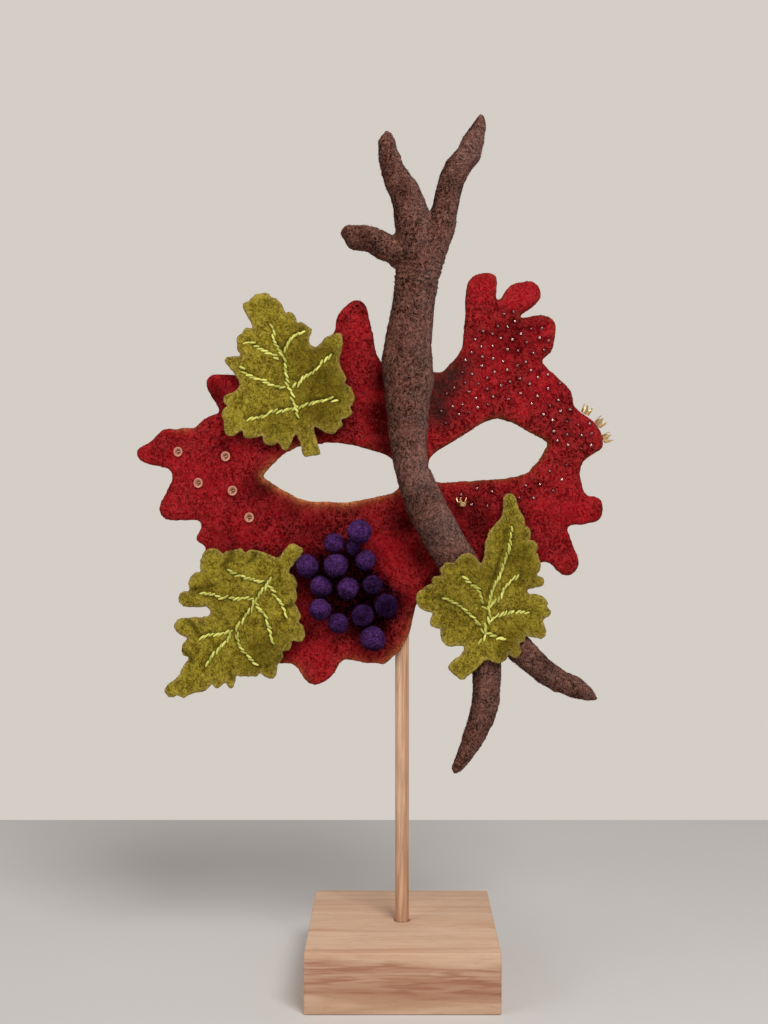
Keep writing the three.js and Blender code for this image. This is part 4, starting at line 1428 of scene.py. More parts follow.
@dataclass
class FeltTree:
    """The needle-felted tree between the eyes, with its twigs and roots."""

    felting: Felting = Felting(0.85 * MM, 4, (Lumps(7 * MM, 0.4 * MM), Lumps(2.6 * MM, 0.28 * MM)))
    pile: Pile = Pile(
        15000, (1.5 * MM, 4.2 * MM), (0.1 * MM, 0.3 * MM), lie=(0.0, 0.0, 0.3), wander=0.9, stray=0.25,
        rise=0.34, seed=23,
    )
    nudges: tuple[Nudge, ...] = (
        Nudge(387, 137, -0.5, -5, 6), Nudge(479, 123, 2.5, -8, 7), Nudge(344, 235, -2, -2, 6),
        Nudge(590, 693, 5, 4, 8), Nudge(457, 766, -2, 5, 8), Nudge(396, 258, 3, -2, 6),
        Nudge(380, 142, -1.5, -1, 4), Nudge(393, 140, 2.5, -1.5, 4), Nudge(350, 228, -3, -1.5, 5),
        Nudge(353, 247, -3, 2, 5),
    )
    wraps: tuple[float, float] = (250.0, 296.0)
    wrap_fade: float = 8.0
    wrap_slant: float = 0.25
    wrap_pitch: float = 2.3 * MM
    wrap_depth: float = 0.26 * MM
    # The share of painted light that the sides facing the key lamp on the right get.
    lit_share: float = 0.55
    # How painted shade grows on the sides facing left and down, away from the key lamp: a slope on each
    # facing, and a start.
    turned: tuple[float, float, float] = (-0.8, -0.3, -0.1)
    # Spots that are greyed, partly grey wool and partly painted light.
    grey_and_painted_light: tuple[Spot, ...] = (
        Spot(500, 160, 26, 0.9), Spot(560, 190, 40, 0.9), Spot(440, 470, 22, 0.8), Spot(455, 520, 22, 0.8),
        Spot(520, 700, 30, 0.5), Spot(450, 330, 16, 0.6), Spot(600, 160, 40, 0.8),
    )
    dark: tuple[Spot, ...] = (
        Spot(403, 191, 9, 0.8), Spot(390, 166, 7, 0.7), Spot(365, 240, 9, 0.8), Spot(393, 264, 7, 0.8),
        Spot(414, 257, 8, 0.6), Spot(400, 290, 8, 0.5), Spot(398, 345, 9, 0.5), Spot(395, 420, 9, 0.5),
        Spot(412, 500, 8, 0.7), Spot(470, 700, 9, 0.5), Spot(545, 665, 9, 0.5), Spot(455, 185, 6, 0.6),
    )

    def build(self, looks: dict[str, bpy.types.Material]) -> None:
        """Build and dress the tree.

        Args:
            looks: The materials, by name.
        """
        body = blank_of("felt_branch", "tree_body")
        self.felting.felt(body)
        nudge(body.data, self.nudges)
        self._wrap(body.data)
        facing = normals(body.data)
        # Painted light joined with grey wool: the sides facing the key lamp on the right are greyed, and so
        # are the listed spots.
        lit = self.lit_share * np.clip(facing[:, 0], 0, 1)
        mark(body.data, "grey_and_painted_light", np.maximum(lit, spotted(coordinates(body.data), self.grey_and_painted_light)))
        # Painted shade on the sides turned away from the key lamp, joined with dark patches of the wool.
        side, up, start = self.turned
        turned = np.clip(side * facing[:, 0] + up * facing[:, 2] + start, 0, 1)
        mark(body.data, "shade", np.maximum(turned, spotted(coordinates(body.data), self.dark)))
        dress(body, looks["bark_felt"], ["felt_branch"])
        fibres = self.pile.lay("tree_fibres", Surface(body))
        hand_down(body, fibres)
        dress(fibres, looks["bark_felt"])

    def _wrap(self, mesh: bpy.types.Mesh) -> None:
        """Raise the faint rings where wool was wound round the trunk's top.

        Args:
            mesh: The tree's mesh.
        """
        points = coordinates(mesh)
        row = VIEW.pixels(points)[:, 1]
        first, last = self.wraps
        fade = self.wrap_fade
        inside = np.clip((row - first) / fade, 0, 1) * np.clip((last - row) / fade, 0, 1)
        slant = points[:, 2] + self.wrap_slant * points[:, 0]
        ring = np.sin(2 * math.pi * slant / self.wrap_pitch) * inside * self.wrap_depth
        move_vertices(mesh, points + normals(mesh) * ring[:, None])


@dataclass
class VineLeaf:
    """A leaf cut from sheet felt, with veins sewn in stem stitch."""

    node: str
    veins: tuple[Route, ...]
    flat: tuple[float, float]
    seed: int
    shade: tuple[Spot, ...] = ()
    creases: tuple[Route, ...] = ()
    notches: Route = ()
    notch_depth: float = 4.0
    notch_spread: float = 2.3
    flat_area: float = 0.003
    felting: Felting = Felting(0.55 * MM, 2, (Lumps(6 * MM, 0.4 * MM), Lumps(2.2 * MM, 0.42 * MM)))
    groove_width: float = 1.0 * MM
    groove_depth: float = 0.65 * MM
    puff_width: float = 3.2 * MM
    puff_depth: float = 0.35 * MM
    stitch_step: float = 2.3 * MM
    stitch_lean: float = math.radians(25)
    stitch_lift: float = 0.2 * MM
    line_step: float = 0.5 * MM
    rim_reach: float = 0.8 * MM
    rim_gain: float = 1.8
    front_gain: float = 2.0
    front_start: float = 0.4
    pile: Pile = Pile(
        3200, (1.2 * MM, 3.2 * MM), (0.1 * MM, 0.32 * MM), lie=(0.0, 0.0, 0.0), wander=1.0,
        lift=0.08 * MM, stray=0.08,
    )

    def build(self, looks: dict[str, bpy.types.Material], stitch: "StemStitch") -> None:
        """Build and dress the leaf.

        Args:
            looks: The materials, by name.
            stitch: What the veins are sewn with.
        """
        body = blank_of(self.node, f"{self.node}_felt")
        self.felting.felt(body)
        nudge(body.data, notched(body.data, self.notches, self.notch_depth, self.notch_spread))
        routes = self._routes(Surface(body), self.veins)
        self._press(body, routes + self._routes(Surface(body), self.creases))
        mesh = body.data
        mark(mesh, "rim", np.minimum(1.0, self.rim_gain * rim_closeness(mesh, self.rim_reach)))
        mark(mesh, "shade", spotted(coordinates(mesh), self.shade))
        dress(body, looks["leaf_felt"], [self.node])
        surface = Surface(body)
        places = [place for route in routes for place in self._stitches(route, surface)]
        veins = gather(f"{self.node}_veins", stitch.pattern(), places)
        smooth(veins)
        dress(veins, looks["vein_thread"])
        pile = replace(self.pile, seed=self.seed)
        fibres = pile.lay(f"{self.node}_fibres", surface)
        hand_down(body, fibres)
        dress(fibres, looks["leaf_felt"])
        LOG.info("%s: half its surface is %.6f square metres", self.node, half_area(body))

    def _routes(self, surface: Surface, lines: tuple[Route, ...]) -> list[np.ndarray]:
        """Walk lines of the photograph on the leaf's front.

        Args:
            surface: The leaf's skin.
            lines: The lines' pixels.

        Returns:
            Each line's places, a short step apart.
        """
        routes = []
        for vein in lines:
            seen = [surface.seen(place) for place in vein]
            corners = np.array([hit[0] for hit in seen if hit])
            routes.append(even_route(corners, self.line_step))
        return routes

    def _press(self, body: bpy.types.Object, routes: list[np.ndarray]) -> None:
        """Draw the front in where the thread pulls it, so that it swells between the veins, and paint shade
        into the grooves.

        Args:
            body: The leaf.
            routes: The lines along which it is drawn in.
        """
        mesh = body.data
        points = coordinates(mesh)
        front = np.clip(-normals(mesh)[:, 1] * self.front_gain - self.front_start, 0.0, 1.0)
        line = np.concatenate(routes)
        off = distances(points, line)
        groove = np.exp(-((off / self.groove_width) ** 2))
        puff = np.exp(-((off / self.puff_width) ** 2))
        sink = front * (self.groove_depth * groove + self.puff_depth * puff)
        points[:, 1] += sink
        move_vertices(mesh, points)
        # Painted shade along the grooves of the veins and creases.
        mark(mesh, "groove", groove * front)

    def _stitches(self, route: np.ndarray, surface: Surface) -> list[Matrix]:
        """Place a vein's stitches, each turned a little off the line.

        Args:
            route: The vein's line.
            surface: The leaf's skin.

        Returns:
            The stitches' places.
        """
        places = []
        walk = even_route(route, self.stitch_step)
        for k, point in enumerate(walk):
            ahead = Vector(walk[min(k + 1, len(walk) - 1)] - walk[max(k - 1, 0)])
            found, normal = surface.nearest(Vector(point))
            if ahead.length < 1e-6:
                continue
            leaning = Matrix.Rotation(self.stitch_lean, 3, normal) @ ahead
            places.append(lying(found + normal * self.stitch_lift, leaning, normal))
        return places


@dataclass
class StemStitch:
    """One stitch of the veins' thread."""

    length: float = 3.9 * MM
    width: float = 1.15 * MM
    thickness: float = 0.92 * MM
    arch: float = 0.3 * MM

    def pattern(self) -> bpy.types.Object:
        """Model the stitch: a plump spindle, arched over the felt with its ends sunk in.

        Returns:
            The stitch.
        """
        bpy.ops.object.select_all(action="DESELECT")
        bpy.ops.mesh.primitive_uv_sphere_add(segments=8, ring_count=8, radius=0.5)
        stitch = bpy.context.object
        bpy.ops.object.mode_set(mode="EDIT")
        bpy.ops.mesh.select_all(action="SELECT")
        bpy.ops.transform.rotate(
            value=math.pi / 2, orient_axis="Y", center_override=(0, 0, 0), orient_type="GLOBAL"
        )
        bpy.ops.transform.resize(value=(self.length, self.width, self.thickness))
        bpy.ops.object.mode_set(mode="OBJECT")
        points = coordinates(stitch.data)
        points[:, 2] -= self.arch * (2 * points[:, 0] / self.length) ** 2
        move_vertices(stitch.data, points)
        return stitch


@dataclass
class Grapes:
    """The violet felt balls of the grapes."""

    lumps: tuple[Lumps, ...] = (Lumps(5 * MM, 0.65 * MM), Lumps(1.5 * MM, 0.18 * MM))
    octaves: int = 2
    level: float = 0.6
    pile: Pile = Pile(
        420, (1.2 * MM, 3.4 * MM), (0.08 * MM, 0.24 * MM), lie=(0.0, 0.0, 0.0), wander=1.0,
        lift=0.12 * MM, stray=0.55, rise=0.5, seed=100,
    )
    # How painted shade grows on each ball's sides facing left and down: a slope on each facing, and a start.
    under: tuple[float, float, float] = (-0.25, -0.9, -0.05)
    # Spots of painted shade on the balls that lie in shadow, at the right of the cluster.
    shade: tuple[Spot, ...] = (
        Spot(387, 606, 11, 1.0), Spot(373, 585, 9, 0.85), Spot(363, 615, 9, 0.85), Spot(341, 628, 8, 0.4),
    )

    def build(self, looks: dict[str, bpy.types.Material]) -> None:
        """Build and dress each grape.

        Args:
            looks: The materials, by name.
        """
        names = sorted(name for name in frame["nodes"] if name.startswith("grape_"))
        for k, node in enumerate(names):
            ball = self._ball(node)
            dress(ball, looks["grape_felt"], [node])
            pile = replace(self.pile, seed=self.pile.seed + k)
            # Painted shade on each ball's underside and on the listed balls in shadow.
            facing = normals(ball.data)
            side, up, start = self.under
            under = np.clip(side * facing[:, 0] + up * facing[:, 2] + start, 0, 1)
            mark(ball.data, "shade", np.maximum(under, spotted(coordinates(ball.data), self.shade)))
            fibres = pile.lay(f"{node}_fibres", Surface(ball))
            hand_down(ball, fibres)
            dress(fibres, looks["grape_felt"])

    def _ball(self, node: str) -> bpy.types.Object:
        """Model a felt ball where a node is.

        Args:
            node: The node.

        Returns:
            The ball.
        """
        bpy.ops.object.select_all(action="DESELECT")
        bpy.ops.mesh.primitive_ico_sphere_add(subdivisions=4, radius=0.5)
        ball = bpy.context.object
        ball.name = f"{node}_ball"
        fill_box(ball, node)
        raise_lumps(ball, self.lumps, self.octaves, self.level)
        smooth(ball)
        return ball


@dataclass
class SeedBeads:
    """The small glass beads sewn all over the right ear."""

    field: Route = (
        (508, 303), (530, 322), (552, 334), (552, 352), (562, 380), (580, 392), (584, 410), (596, 432),
        (596, 446), (576, 456), (560, 448), (548, 420), (522, 402), (488, 405), (452, 418), (438, 432),
        (440, 402), (458, 376), (474, 340),
    )
    faint: Route = (
        (560, 455), (572, 470), (548, 496), (500, 512), (448, 500), (460, 487), (520, 488), (548, 470),
    )
    spacing: float = 9.2
    faint_spacing: float = 14.0
    major: float = 0.35 * MM
    minor: float = 0.25 * MM
    lengthened: float = 1.25
    # How far the painted shadow round each bead reaches, and how strong it is.
    bead_shadow: float = 0.75 * MM
    bead_shadow_gain: float = 2.2
    lift: float = 0.35 * MM
    lean: float = 0.9
    open_to_view: float = -0.7
    tries: int = 6000
    seed: int = 71

    def build(self, looks: dict[str, bpy.types.Material], skin: Surface) -> None:
        """Sew on the beads.

        Args:
            looks: The materials, by name.
            skin: The face's skin.
        """
        draw = np.random.default_rng(self.seed)
        cover = [Surface(frame["nodes"][name]) for name in ("felt_branch", "leaf_lower_right")]
        seats = []
        for field, spacing in ((self.field, self.spacing), (self.faint, self.faint_spacing)):
            for place in self._sown(field, spacing, draw):
                seat = self._seat(place, skin, cover, draw)
                if seat is not None:
                    seats.append(seat)
        middles = np.array([seat.translation for seat in seats])
        # Painted shadow round each bead: the felt near it is darkened, and its surface is not moved.
        sunk = np.minimum(1.0, self.bead_shadow_gain * closeness(skin.points, middles, self.bead_shadow))
        mark(skin.mesh, "bead_shadow", sunk)
        beads = gather("seed_beads", self._pattern(), seats)
        smooth(beads)
        dress(beads, looks["silver_bead"])

    def _sown(self, field: Route, spacing: float, draw: np.random.Generator) -> list[Pixel]:
        """Sow pixels over a field, none closer to another than the spacing.

        Args:
            field: The field's corners.
            spacing: The least distance in pixels.
            draw: Where the random numbers come from.

        Returns:
            The pixels.
        """
        corners = np.array(field)
        low, high = corners.min(0), corners.max(0)
        sown: list[np.ndarray] = []
        for place in draw.uniform(low, high, (self.tries, 2)):
            ahead = np.roll(corners, -1, 0)
            crossed = (corners[:, 1] > place[1]) != (ahead[:, 1] > place[1])
            with np.errstate(divide="ignore", invalid="ignore"):
                slope = (ahead - corners)[:, 0] / (ahead - corners)[:, 1]
                where = corners[:, 0] + (place[1] - corners[:, 1]) * slope
            inside = (crossed & (place[0] < where)).sum() % 2 == 1
            if inside and all(np.linalg.norm(place - other) > spacing for other in sown):
                sown.append(place)
        return [(float(x), float(y)) for x, y in sown]

    def _seat(
        self, place: Pixel, skin: Surface, cover: list[Surface], draw: np.random.Generator
    ) -> Matrix | None:
        """Find where a bead sits.

        Args:
            place: Its pixel.
            skin: The face's skin.
            cover: What may hide the face there.
            draw: Where the random numbers come from.

        Returns:
            Its place, or None where the face isn't open to view.
        """
        hit = skin.seen(place)
        turn = Vector(draw.normal(0.0, 1.0, 3))
        if hit is None or any(other.seen(place) for other in cover):
            return None
        point, normal = hit
        if normal.dot(VIEW.ray(place)) > self.open_to_view:
            return None
        up = (normal + self.lean * (turn - normal * turn.dot(normal)).normalized()).normalized()
        return lying(point + normal * self.lift, Vector((1.0, 0.2, 0.1)), up)

    def _pattern(self) -> bpy.types.Object:
        """Model one bead: a short glass tube, rounder than a plain ring.

        Returns:
            The bead.
        """
        bpy.ops.object.select_all(action="DESELECT")
        bpy.ops.mesh.primitive_torus_add(
            major_segments=12, minor_segments=7, major_radius=self.major, minor_radius=self.minor
        )
        bead = bpy.context.object
        bpy.ops.object.mode_set(mode="EDIT")
        bpy.ops.mesh.select_all(action="SELECT")
        bpy.ops.transform.resize(value=(1.0, 1.0, self.lengthened))
        bpy.ops.object.mode_set(mode="OBJECT")
        return bead


@dataclass
class Sequins:
    """The five cup sequins on the left ear, each held by a stitch.

    Rings, the places where the cup rises and the well, whose shade is painted, are given as shares of the
    rim's radius.
    """

    hole: float = 0.62 * MM
    rim: float = 2.1 * MM
    cup: float = 0.5 * MM
    sheet: float = 0.16 * MM
    sunk: float = 0.02 * MM
    rings: tuple[float, ...] = (0.45, 0.5, 0.86, 0.95, 1.0)
    rise_at: tuple[float, ...] = (0.3, 0.46, 0.52, 0.86, 0.95, 1.0)
    rise: tuple[float, ...] = (0.0, 0.1, 0.45, 0.95, 1.0, 0.82)
    well: tuple[float, float] = (0.5, 0.6)
    thread: tuple[float, float, float] = (1.3 * MM, 0.42 * MM, 0.42 * MM)
    thread_start: float = 0.1 * MM
    thread_lift: float = 0.34 * MM
    thread_slope: float = 0.2

    def build(self, looks: dict[str, bpy.types.Material]) -> None:
        """Build and dress the sequins and their stitches.

        Args:
            looks: The materials, by name.
        """
        seats = []
        for node in sorted(name for name in frame["nodes"] if name.startswith("sequin_")):
            seat = self._seat(node)
            cup = gather(f"{node}_cup", self._pattern(), [seat])
            smooth(cup)
            dress(cup, looks["copper_pearl"], [node])
            seats.append(seat)
        stitches = gather("sequin_stitches", self._stitch(), seats)
        smooth(stitches)
        dress(stitches, looks["copper_thread"])

    def _seat(self, node: str) -> Matrix:
        """Find how a sequin's node lies: its z axis is the one across which it is thinnest.

        Args:
            node: The node.

        Returns:
            The place of the sequin.
        """
        points = coordinates(frame["nodes"][node].data)
        middle = (points.max(0) + points.min(0)) / 2
        across = np.linalg.svd(points - points.mean(0))[2][2]
        across = across * -np.sign(across[1])
        foot = middle + across * (((points - middle) @ across).min() + self.sunk)
        return lying(Vector(foot), Vector((1.0, 0.0, 0.3)), Vector(across))

    def _pattern(self) -> bpy.types.Object:
        """Model one sequin: a thin pressed cup with a turned-over lip.

        Returns:
            The sequin.
        """
        bpy.ops.object.select_all(action="DESELECT")
        bpy.ops.mesh.primitive_circle_add(vertices=32, radius=self.hole)
        cup = bpy.context.object
        bpy.ops.object.mode_set(mode="EDIT")
        bpy.ops.mesh.select_all(action="SELECT")
        radius = self.hole
        for ring in self.rings:
            bpy.ops.mesh.extrude_region_move()
            scale = ring * self.rim / radius
            radius *= scale
            bpy.ops.transform.resize(value=(scale, scale, 1.0), center_override=(0, 0, 0))
        bpy.ops.object.mode_set(mode="OBJECT")
        points = coordinates(cup.data)
        off = np.linalg.norm(points[:, :2], axis=1) / self.rim
        points[:, 2] = self.cup * np.interp(off, self.rise_at, self.rise)
        move_vertices(cup.data, points)
        mark(cup.data, "well", np.interp(off, self.well, (1.0, 0.0)))
        apply_modifier(cup, "SOLIDIFY", thickness=self.sheet, offset=1.0)
        face_outward(cup)
        return cup

    def _stitch(self) -> bpy.types.Object:
        """Model the stitch that holds a sequin: a short thread from its hole over its rim.

        Returns:
            The stitch.
        """
        bpy.ops.object.select_all(action="DESELECT")
        bpy.ops.mesh.primitive_uv_sphere_add(segments=8, ring_count=8, radius=0.5)
        stitch = bpy.context.object
        points = coordinates(stitch.data)
        points = points[:, (2, 1, 0)] * self.thread
        points[:, 2] += self.thread_lift - self.thread_slope * points[:, 0]
        points[:, 0] += self.thread_start
        move_vertices(stitch.data, points)
        face_outward(stitch)
        return stitch


@dataclass
class Crowns:
    """The small gold crowns: three on the right ear's edge and one on the face."""

    turns: tuple[float, ...] = (29.0, 52.0, 71.0, 0.0)
    foot: float = 1.7 * MM
    brim: float = 2.1 * MM
    band: float = 1.45 * MM
    height: float = 3.8 * MM
    wall: float = 0.3 * MM
    prongs: int = 5
    prong_columns: int = 8
    prong_rows: int = 6
    prong_curve: float = 1.2
    ball: float = 0.3 * MM
    bead: float = 0.2 * MM
    bevel: float = 0.06 * MM
    lowest_bead: float = 0.12 * MM
    foot_reach: float = 0.2 * MM
    sharp: float = math.radians(40)

    def build(self, looks: dict[str, bpy.types.Material]) -> None:
        """Build and dress the crowns.

        Args:
            looks: The materials, by name.
        """
        for k, turn in enumerate(self.turns):
            node = f"gold_crown_{k + 1}"
            tilt = math.radians(turn)
            up = np.array((math.sin(tilt), 0.0, math.cos(tilt)))
            points = coordinates(frame["nodes"][node].data)
            along = points @ up
            foot = points[along < along.min() + self.foot_reach].mean(0)
            seat = lying(Vector(foot), Vector((math.cos(tilt), 0.0, -math.sin(tilt))), Vector(up))
            crown = gather(f"{node}_cast", self._pattern(), [seat])
            only(crown)
            bpy.ops.object.shade_smooth_by_angle(angle=self.sharp)
            dress(crown, looks["crown_gold"], [node])

    def _pattern(self) -> bpy.types.Object:
        """Model one crown: a flared band with pointed prongs, a foot ring and balls on the tips.

        Returns:
            The crown.
        """
        columns = self.prong_columns * self.prongs
        bpy.ops.object.select_all(action="DESELECT")
        bpy.ops.mesh.primitive_circle_add(vertices=columns, radius=self.foot)
        crown = bpy.context.object
        bpy.ops.object.mode_set(mode="EDIT")
        bpy.ops.mesh.select_all(action="SELECT")
        step = (0, 0, self.height / self.prong_rows)
        for _ in range(self.prong_rows):
            bpy.ops.mesh.extrude_region_move(TRANSFORM_OT_translate={"value": step})
        bpy.ops.object.mode_set(mode="OBJECT")
        self._shape(crown)
        apply_modifier(crown, "SOLIDIFY", thickness=self.wall, offset=-1.0)
        apply_modifier(crown, "BEVEL", width=self.bevel, segments=1, limit_method="ANGLE")
        parts = [crown, self._ring(self.lowest_bead), self._ring(self.band)]
        tip = self.height - self.ball
        for k in range(self.prongs):
            turn = 2 * math.pi * (k + 0.5) / self.prongs
            place = (self.brim * math.cos(turn), self.brim * math.sin(turn), tip)
            bpy.ops.mesh.primitive_ico_sphere_add(subdivisions=2, radius=self.ball, location=place)
            parts.append(bpy.context.object)
        bpy.ops.object.select_all(action="DESELECT")
        for part in parts:
            part.select_set(True)
        bpy.context.view_layer.objects.active = crown
        bpy.ops.object.join()
        return crown

    def _shape(self, crown: bpy.types.Object) -> None:
        """Flare the crown's wall and cut its top to prongs.

        Args:
            crown: The crown.
        """
        points = coordinates(crown.data)
        share = points[:, 2] / self.height
        turn = np.arctan2(points[:, 1], points[:, 0]) / (2 * math.pi) * self.prongs
        peak = 1 - np.abs(2 * (turn % 1.0) - 1)
        top = self.band + (self.height - self.ball - self.band) * peak**self.prong_curve
        points[:, 2] = top * share
        flare = self.foot + (self.brim - self.foot) * points[:, 2] / self.height
        points[:, :2] *= (flare / self.foot)[:, None]
        move_vertices(crown.data, points)

    def _ring(self, height: float) -> bpy.types.Object:
        """Make a thin bead round the band.

        Args:
            height: The height of the bead.

        Returns:
            The bead.
        """
        radius = self.foot + (self.brim - self.foot) * height / self.height
        bpy.ops.mesh.primitive_torus_add(
            major_segments=40, minor_segments=6, major_radius=radius - self.wall / 3,
            minor_radius=self.bead, location=(0, 0, height),
        )
        return bpy.context.object


@dataclass
class Stand:
    """The square block, the dowel in it and the felt sleeve behind the mask."""

    edge: float = 0.7 * MM
    rod_edge: float = 0.4 * MM
    clearance: float = 0.3 * MM
    facets: int = 48
    corner: float = math.radians(50)
    sharp: float = math.radians(35)
    sleeve_felting: Felting = Felting(0.8 * MM, 3, (Lumps(3 * MM, 0.15 * MM),))

    def build(self, looks: dict[str, bpy.types.Material]) -> None:
        """Build and dress the stand.

        Args:
            looks: The materials, by name.
        """
        block = self._block()
        dress(block, looks["block_wood"], ["stand_base"])
        rod = self._rod()
        dress(rod, looks["rod_wood"], ["stand_dowel"])
        sleeve = blank_of("dowel_sleeve", "sleeve_felt")
        self.sleeve_felting.felt(sleeve)
        dress(sleeve, looks["red_felt"], ["dowel_sleeve"])
        LOG.info("sleeve sheet %.6f", half_area(sleeve))

    def _block(self) -> bpy.types.Object:
        """Model the block, with the dowel's hole and softly worn edges.

        Returns:
            The block.
        """
        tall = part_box("stand_base")[1][2]
        rod_low, rod_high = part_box("stand_dowel")
        hole_low = rod_low[2] - self.clearance
        radius = (rod_high[0] - rod_low[0]) / 2 + self.clearance
        bpy.ops.object.select_all(action="DESELECT")
        bpy.ops.mesh.primitive_cube_add(size=1.0)
        block = bpy.context.object
        block.name = "stand_block"
        fill_box(block, "stand_base")
        bpy.ops.mesh.primitive_cylinder_add(
            vertices=self.facets, radius=radius, depth=tall, location=(0, 0, hole_low + tall / 2)
        )
        drill = bpy.context.object
        apply_modifier(block, "BOOLEAN", operation="DIFFERENCE", object=drill, solver="EXACT")
        bpy.data.objects.remove(drill)
        apply_modifier(
            block, "BEVEL", width=self.edge, segments=3, limit_method="ANGLE", angle_limit=self.corner
        )
        only(block)
        bpy.ops.object.mode_set(mode="EDIT")
        bpy.ops.mesh.select_all(action="SELECT")
        bpy.ops.mesh.quads_convert_to_tris()
        bpy.ops.object.mode_set(mode="OBJECT")
        bpy.ops.object.shade_smooth_by_angle(angle=self.sharp)
        return block

    def _rod(self) -> bpy.types.Object:
        """Model the dowel, its ends slightly rounded.

        Returns:
            The dowel.
        """
        bpy.ops.object.select_all(action="DESELECT")
        bpy.ops.mesh.primitive_cylinder_add(vertices=self.facets, radius=0.5, depth=1.0)
        rod = bpy.context.object
        rod.name = "stand_rod"
        fill_box(rod, "stand_dowel")
        apply_modifier(
            rod, "BEVEL", width=self.rod_edge, segments=2, limit_method="ANGLE", angle_limit=self.corner
        )
        only(rod)
        bpy.ops.object.shade_smooth_by_angle(angle=self.sharp)
        return rod


@dataclass
class Studio:
    """The pale floor, the backdrop light and the lamps."""

    floor_half: float = 0.259
    floor_colour: Colour = (0.66, 0.645, 0.63)
    air: Colour = (0.66, 0.615, 0.57)
    shade: float = 0.55
    floor_darker: float = 0.96
    floor_clouds: float = 9.0
    floor_roughness: float = 0.55
    floor_sides: float = 6.0
    floor_front: float = 3.0
    floor_drop: float = 0.05 * MM
    key_place: tuple[float, float, float] = (0.3, -0.65, 0.95)
    key_size: float = 0.45
    key_power: float = 8.5
    fill_place: tuple[float, float, float] = (-0.9, -0.5, 0.5)
    fill_size: float = 0.8
    fill_power: float = 3.5
    target: tuple[float, float, float] = (0.0, 0.0, 0.18)

    def build(self) -> None:
        """Set up the floor and the light."""
        scene = bpy.context.scene
        scene.view_settings.view_transform = "Standard"
        world = bpy.data.worlds.new("studio_air")
        world.use_nodes = True
        nodes = Nodes(world.node_tree)
        seen = nodes.add("ShaderNodeLightPath").outputs["Is Camera Ray"]
        ground = world.node_tree.nodes["Background"]
        nodes.wire(self.air, ground.inputs["Color"])
        nodes.wire(nodes.span(seen, 0.0, 1.0, self.shade, 1.0), ground.inputs["Strength"])
        scene.world = world
        self._floor()
        self._lamp("key", self.key_place, self.key_size, self.key_power)
        self._lamp("fill", self.fill_place, self.fill_size, self.fill_power)

    def _floor(self) -> None:
        """Lay the floor."""
        bpy.ops.object.select_all(action="DESELECT")
        bpy.ops.mesh.primitive_plane_add(size=2.0)
        floor = bpy.context.object
        floor.name = "floor"
        points = coordinates(floor.data) * self.floor_half
        points[:, :2] *= np.where(points[:, 1:2] > 0, 1.0, self.floor_front)
        points[:, 0] *= self.floor_sides
        points[:, 2] = -self.floor_drop
        move_vertices(floor.data, points)
        material, nodes, skin = new_material("pale_floor")
        cloud = nodes.noise(nodes.place(), self.floor_clouds, 3.0)
        darker = tuple(self.floor_darker * part for part in self.floor_colour)
        nodes.wire(nodes.mix(cloud, darker, self.floor_colour), skin.inputs["Base Color"])
        skin.inputs["Roughness"].default_value = self.floor_roughness
        floor.data.materials.append(material)

    def _lamp(self, name: str, place: tuple[float, float, float], size: float, power: float) -> None:
        """Hang a soft lamp that looks at the mask.

        Args:
            name: The lamp's name.
            place: Where it hangs.
            size: The length of its sides.
            power: Its power in watts.
        """
        bpy.ops.object.light_add(type="AREA", location=place)
        lamp = bpy.context.object
        lamp.name = name
        lamp.data.size = size
        lamp.data.energy = power
        aim = Vector(self.target) - Vector(place)
        lamp.rotation_euler = aim.to_track_quat("-Z", "Y").to_euler()


LEAF_UPPER_LEFT = VineLeaf(
    node="leaf_upper_left", flat=(0.062, 0.076), seed=31, flat_area=0.0029,
    notches=(
        (251.8, 326.7), (239, 355), (224.5, 408.5), (239, 434), (263.3, 436.4), (279, 447), (314, 426.7),
        (344.5, 421.8), (354, 408.5), (342, 386.7), (297, 321), (282.7, 312.7), (228, 392), (246, 308),
    ),
    shade=(
        Spot(310, 355, 21, 0.8), Spot(322, 382, 22, 0.9), Spot(318, 405, 20, 0.9), Spot(275, 425, 14, 0.5),
        Spot(299, 325, 12, 0.4),
    ),
    veins=(
        ((270, 324), (273.4, 330), (271, 339), (278, 346), (281, 354), (284, 360), (284, 368), (285, 375),
         (287, 383), (289.6, 389.4), (292, 395.7), (292.5, 402.6), (295.4, 408.4), (296, 414), (298, 419)),
        ((282, 352), (286, 345), (290.7, 337.5), (295.4, 333), (304.6, 332.3)),
        ((279, 361), (272, 354), (265, 352), (259.6, 348), (254, 345.6), (250, 341.5), (244.6, 342)),
        ((284, 389.4), (274.6, 386.5), (265, 381.3), (256, 377.3), (247, 375), (240.6, 367.5)),
        ((290.7, 387.7), (297.7, 385.3), (301, 377.3), (309, 373.8), (318.4, 365.7), (325.3, 358.8),
         (331.7, 353)),
        ((246, 418.8), (259.6, 416.5), (270, 413), (279, 410.7), (289.6, 408.4), (296.5, 407.8),
         (302, 405), (311.5, 402.6), (319.6, 400.3), (332, 398.6), (339, 401)),
    ),
)
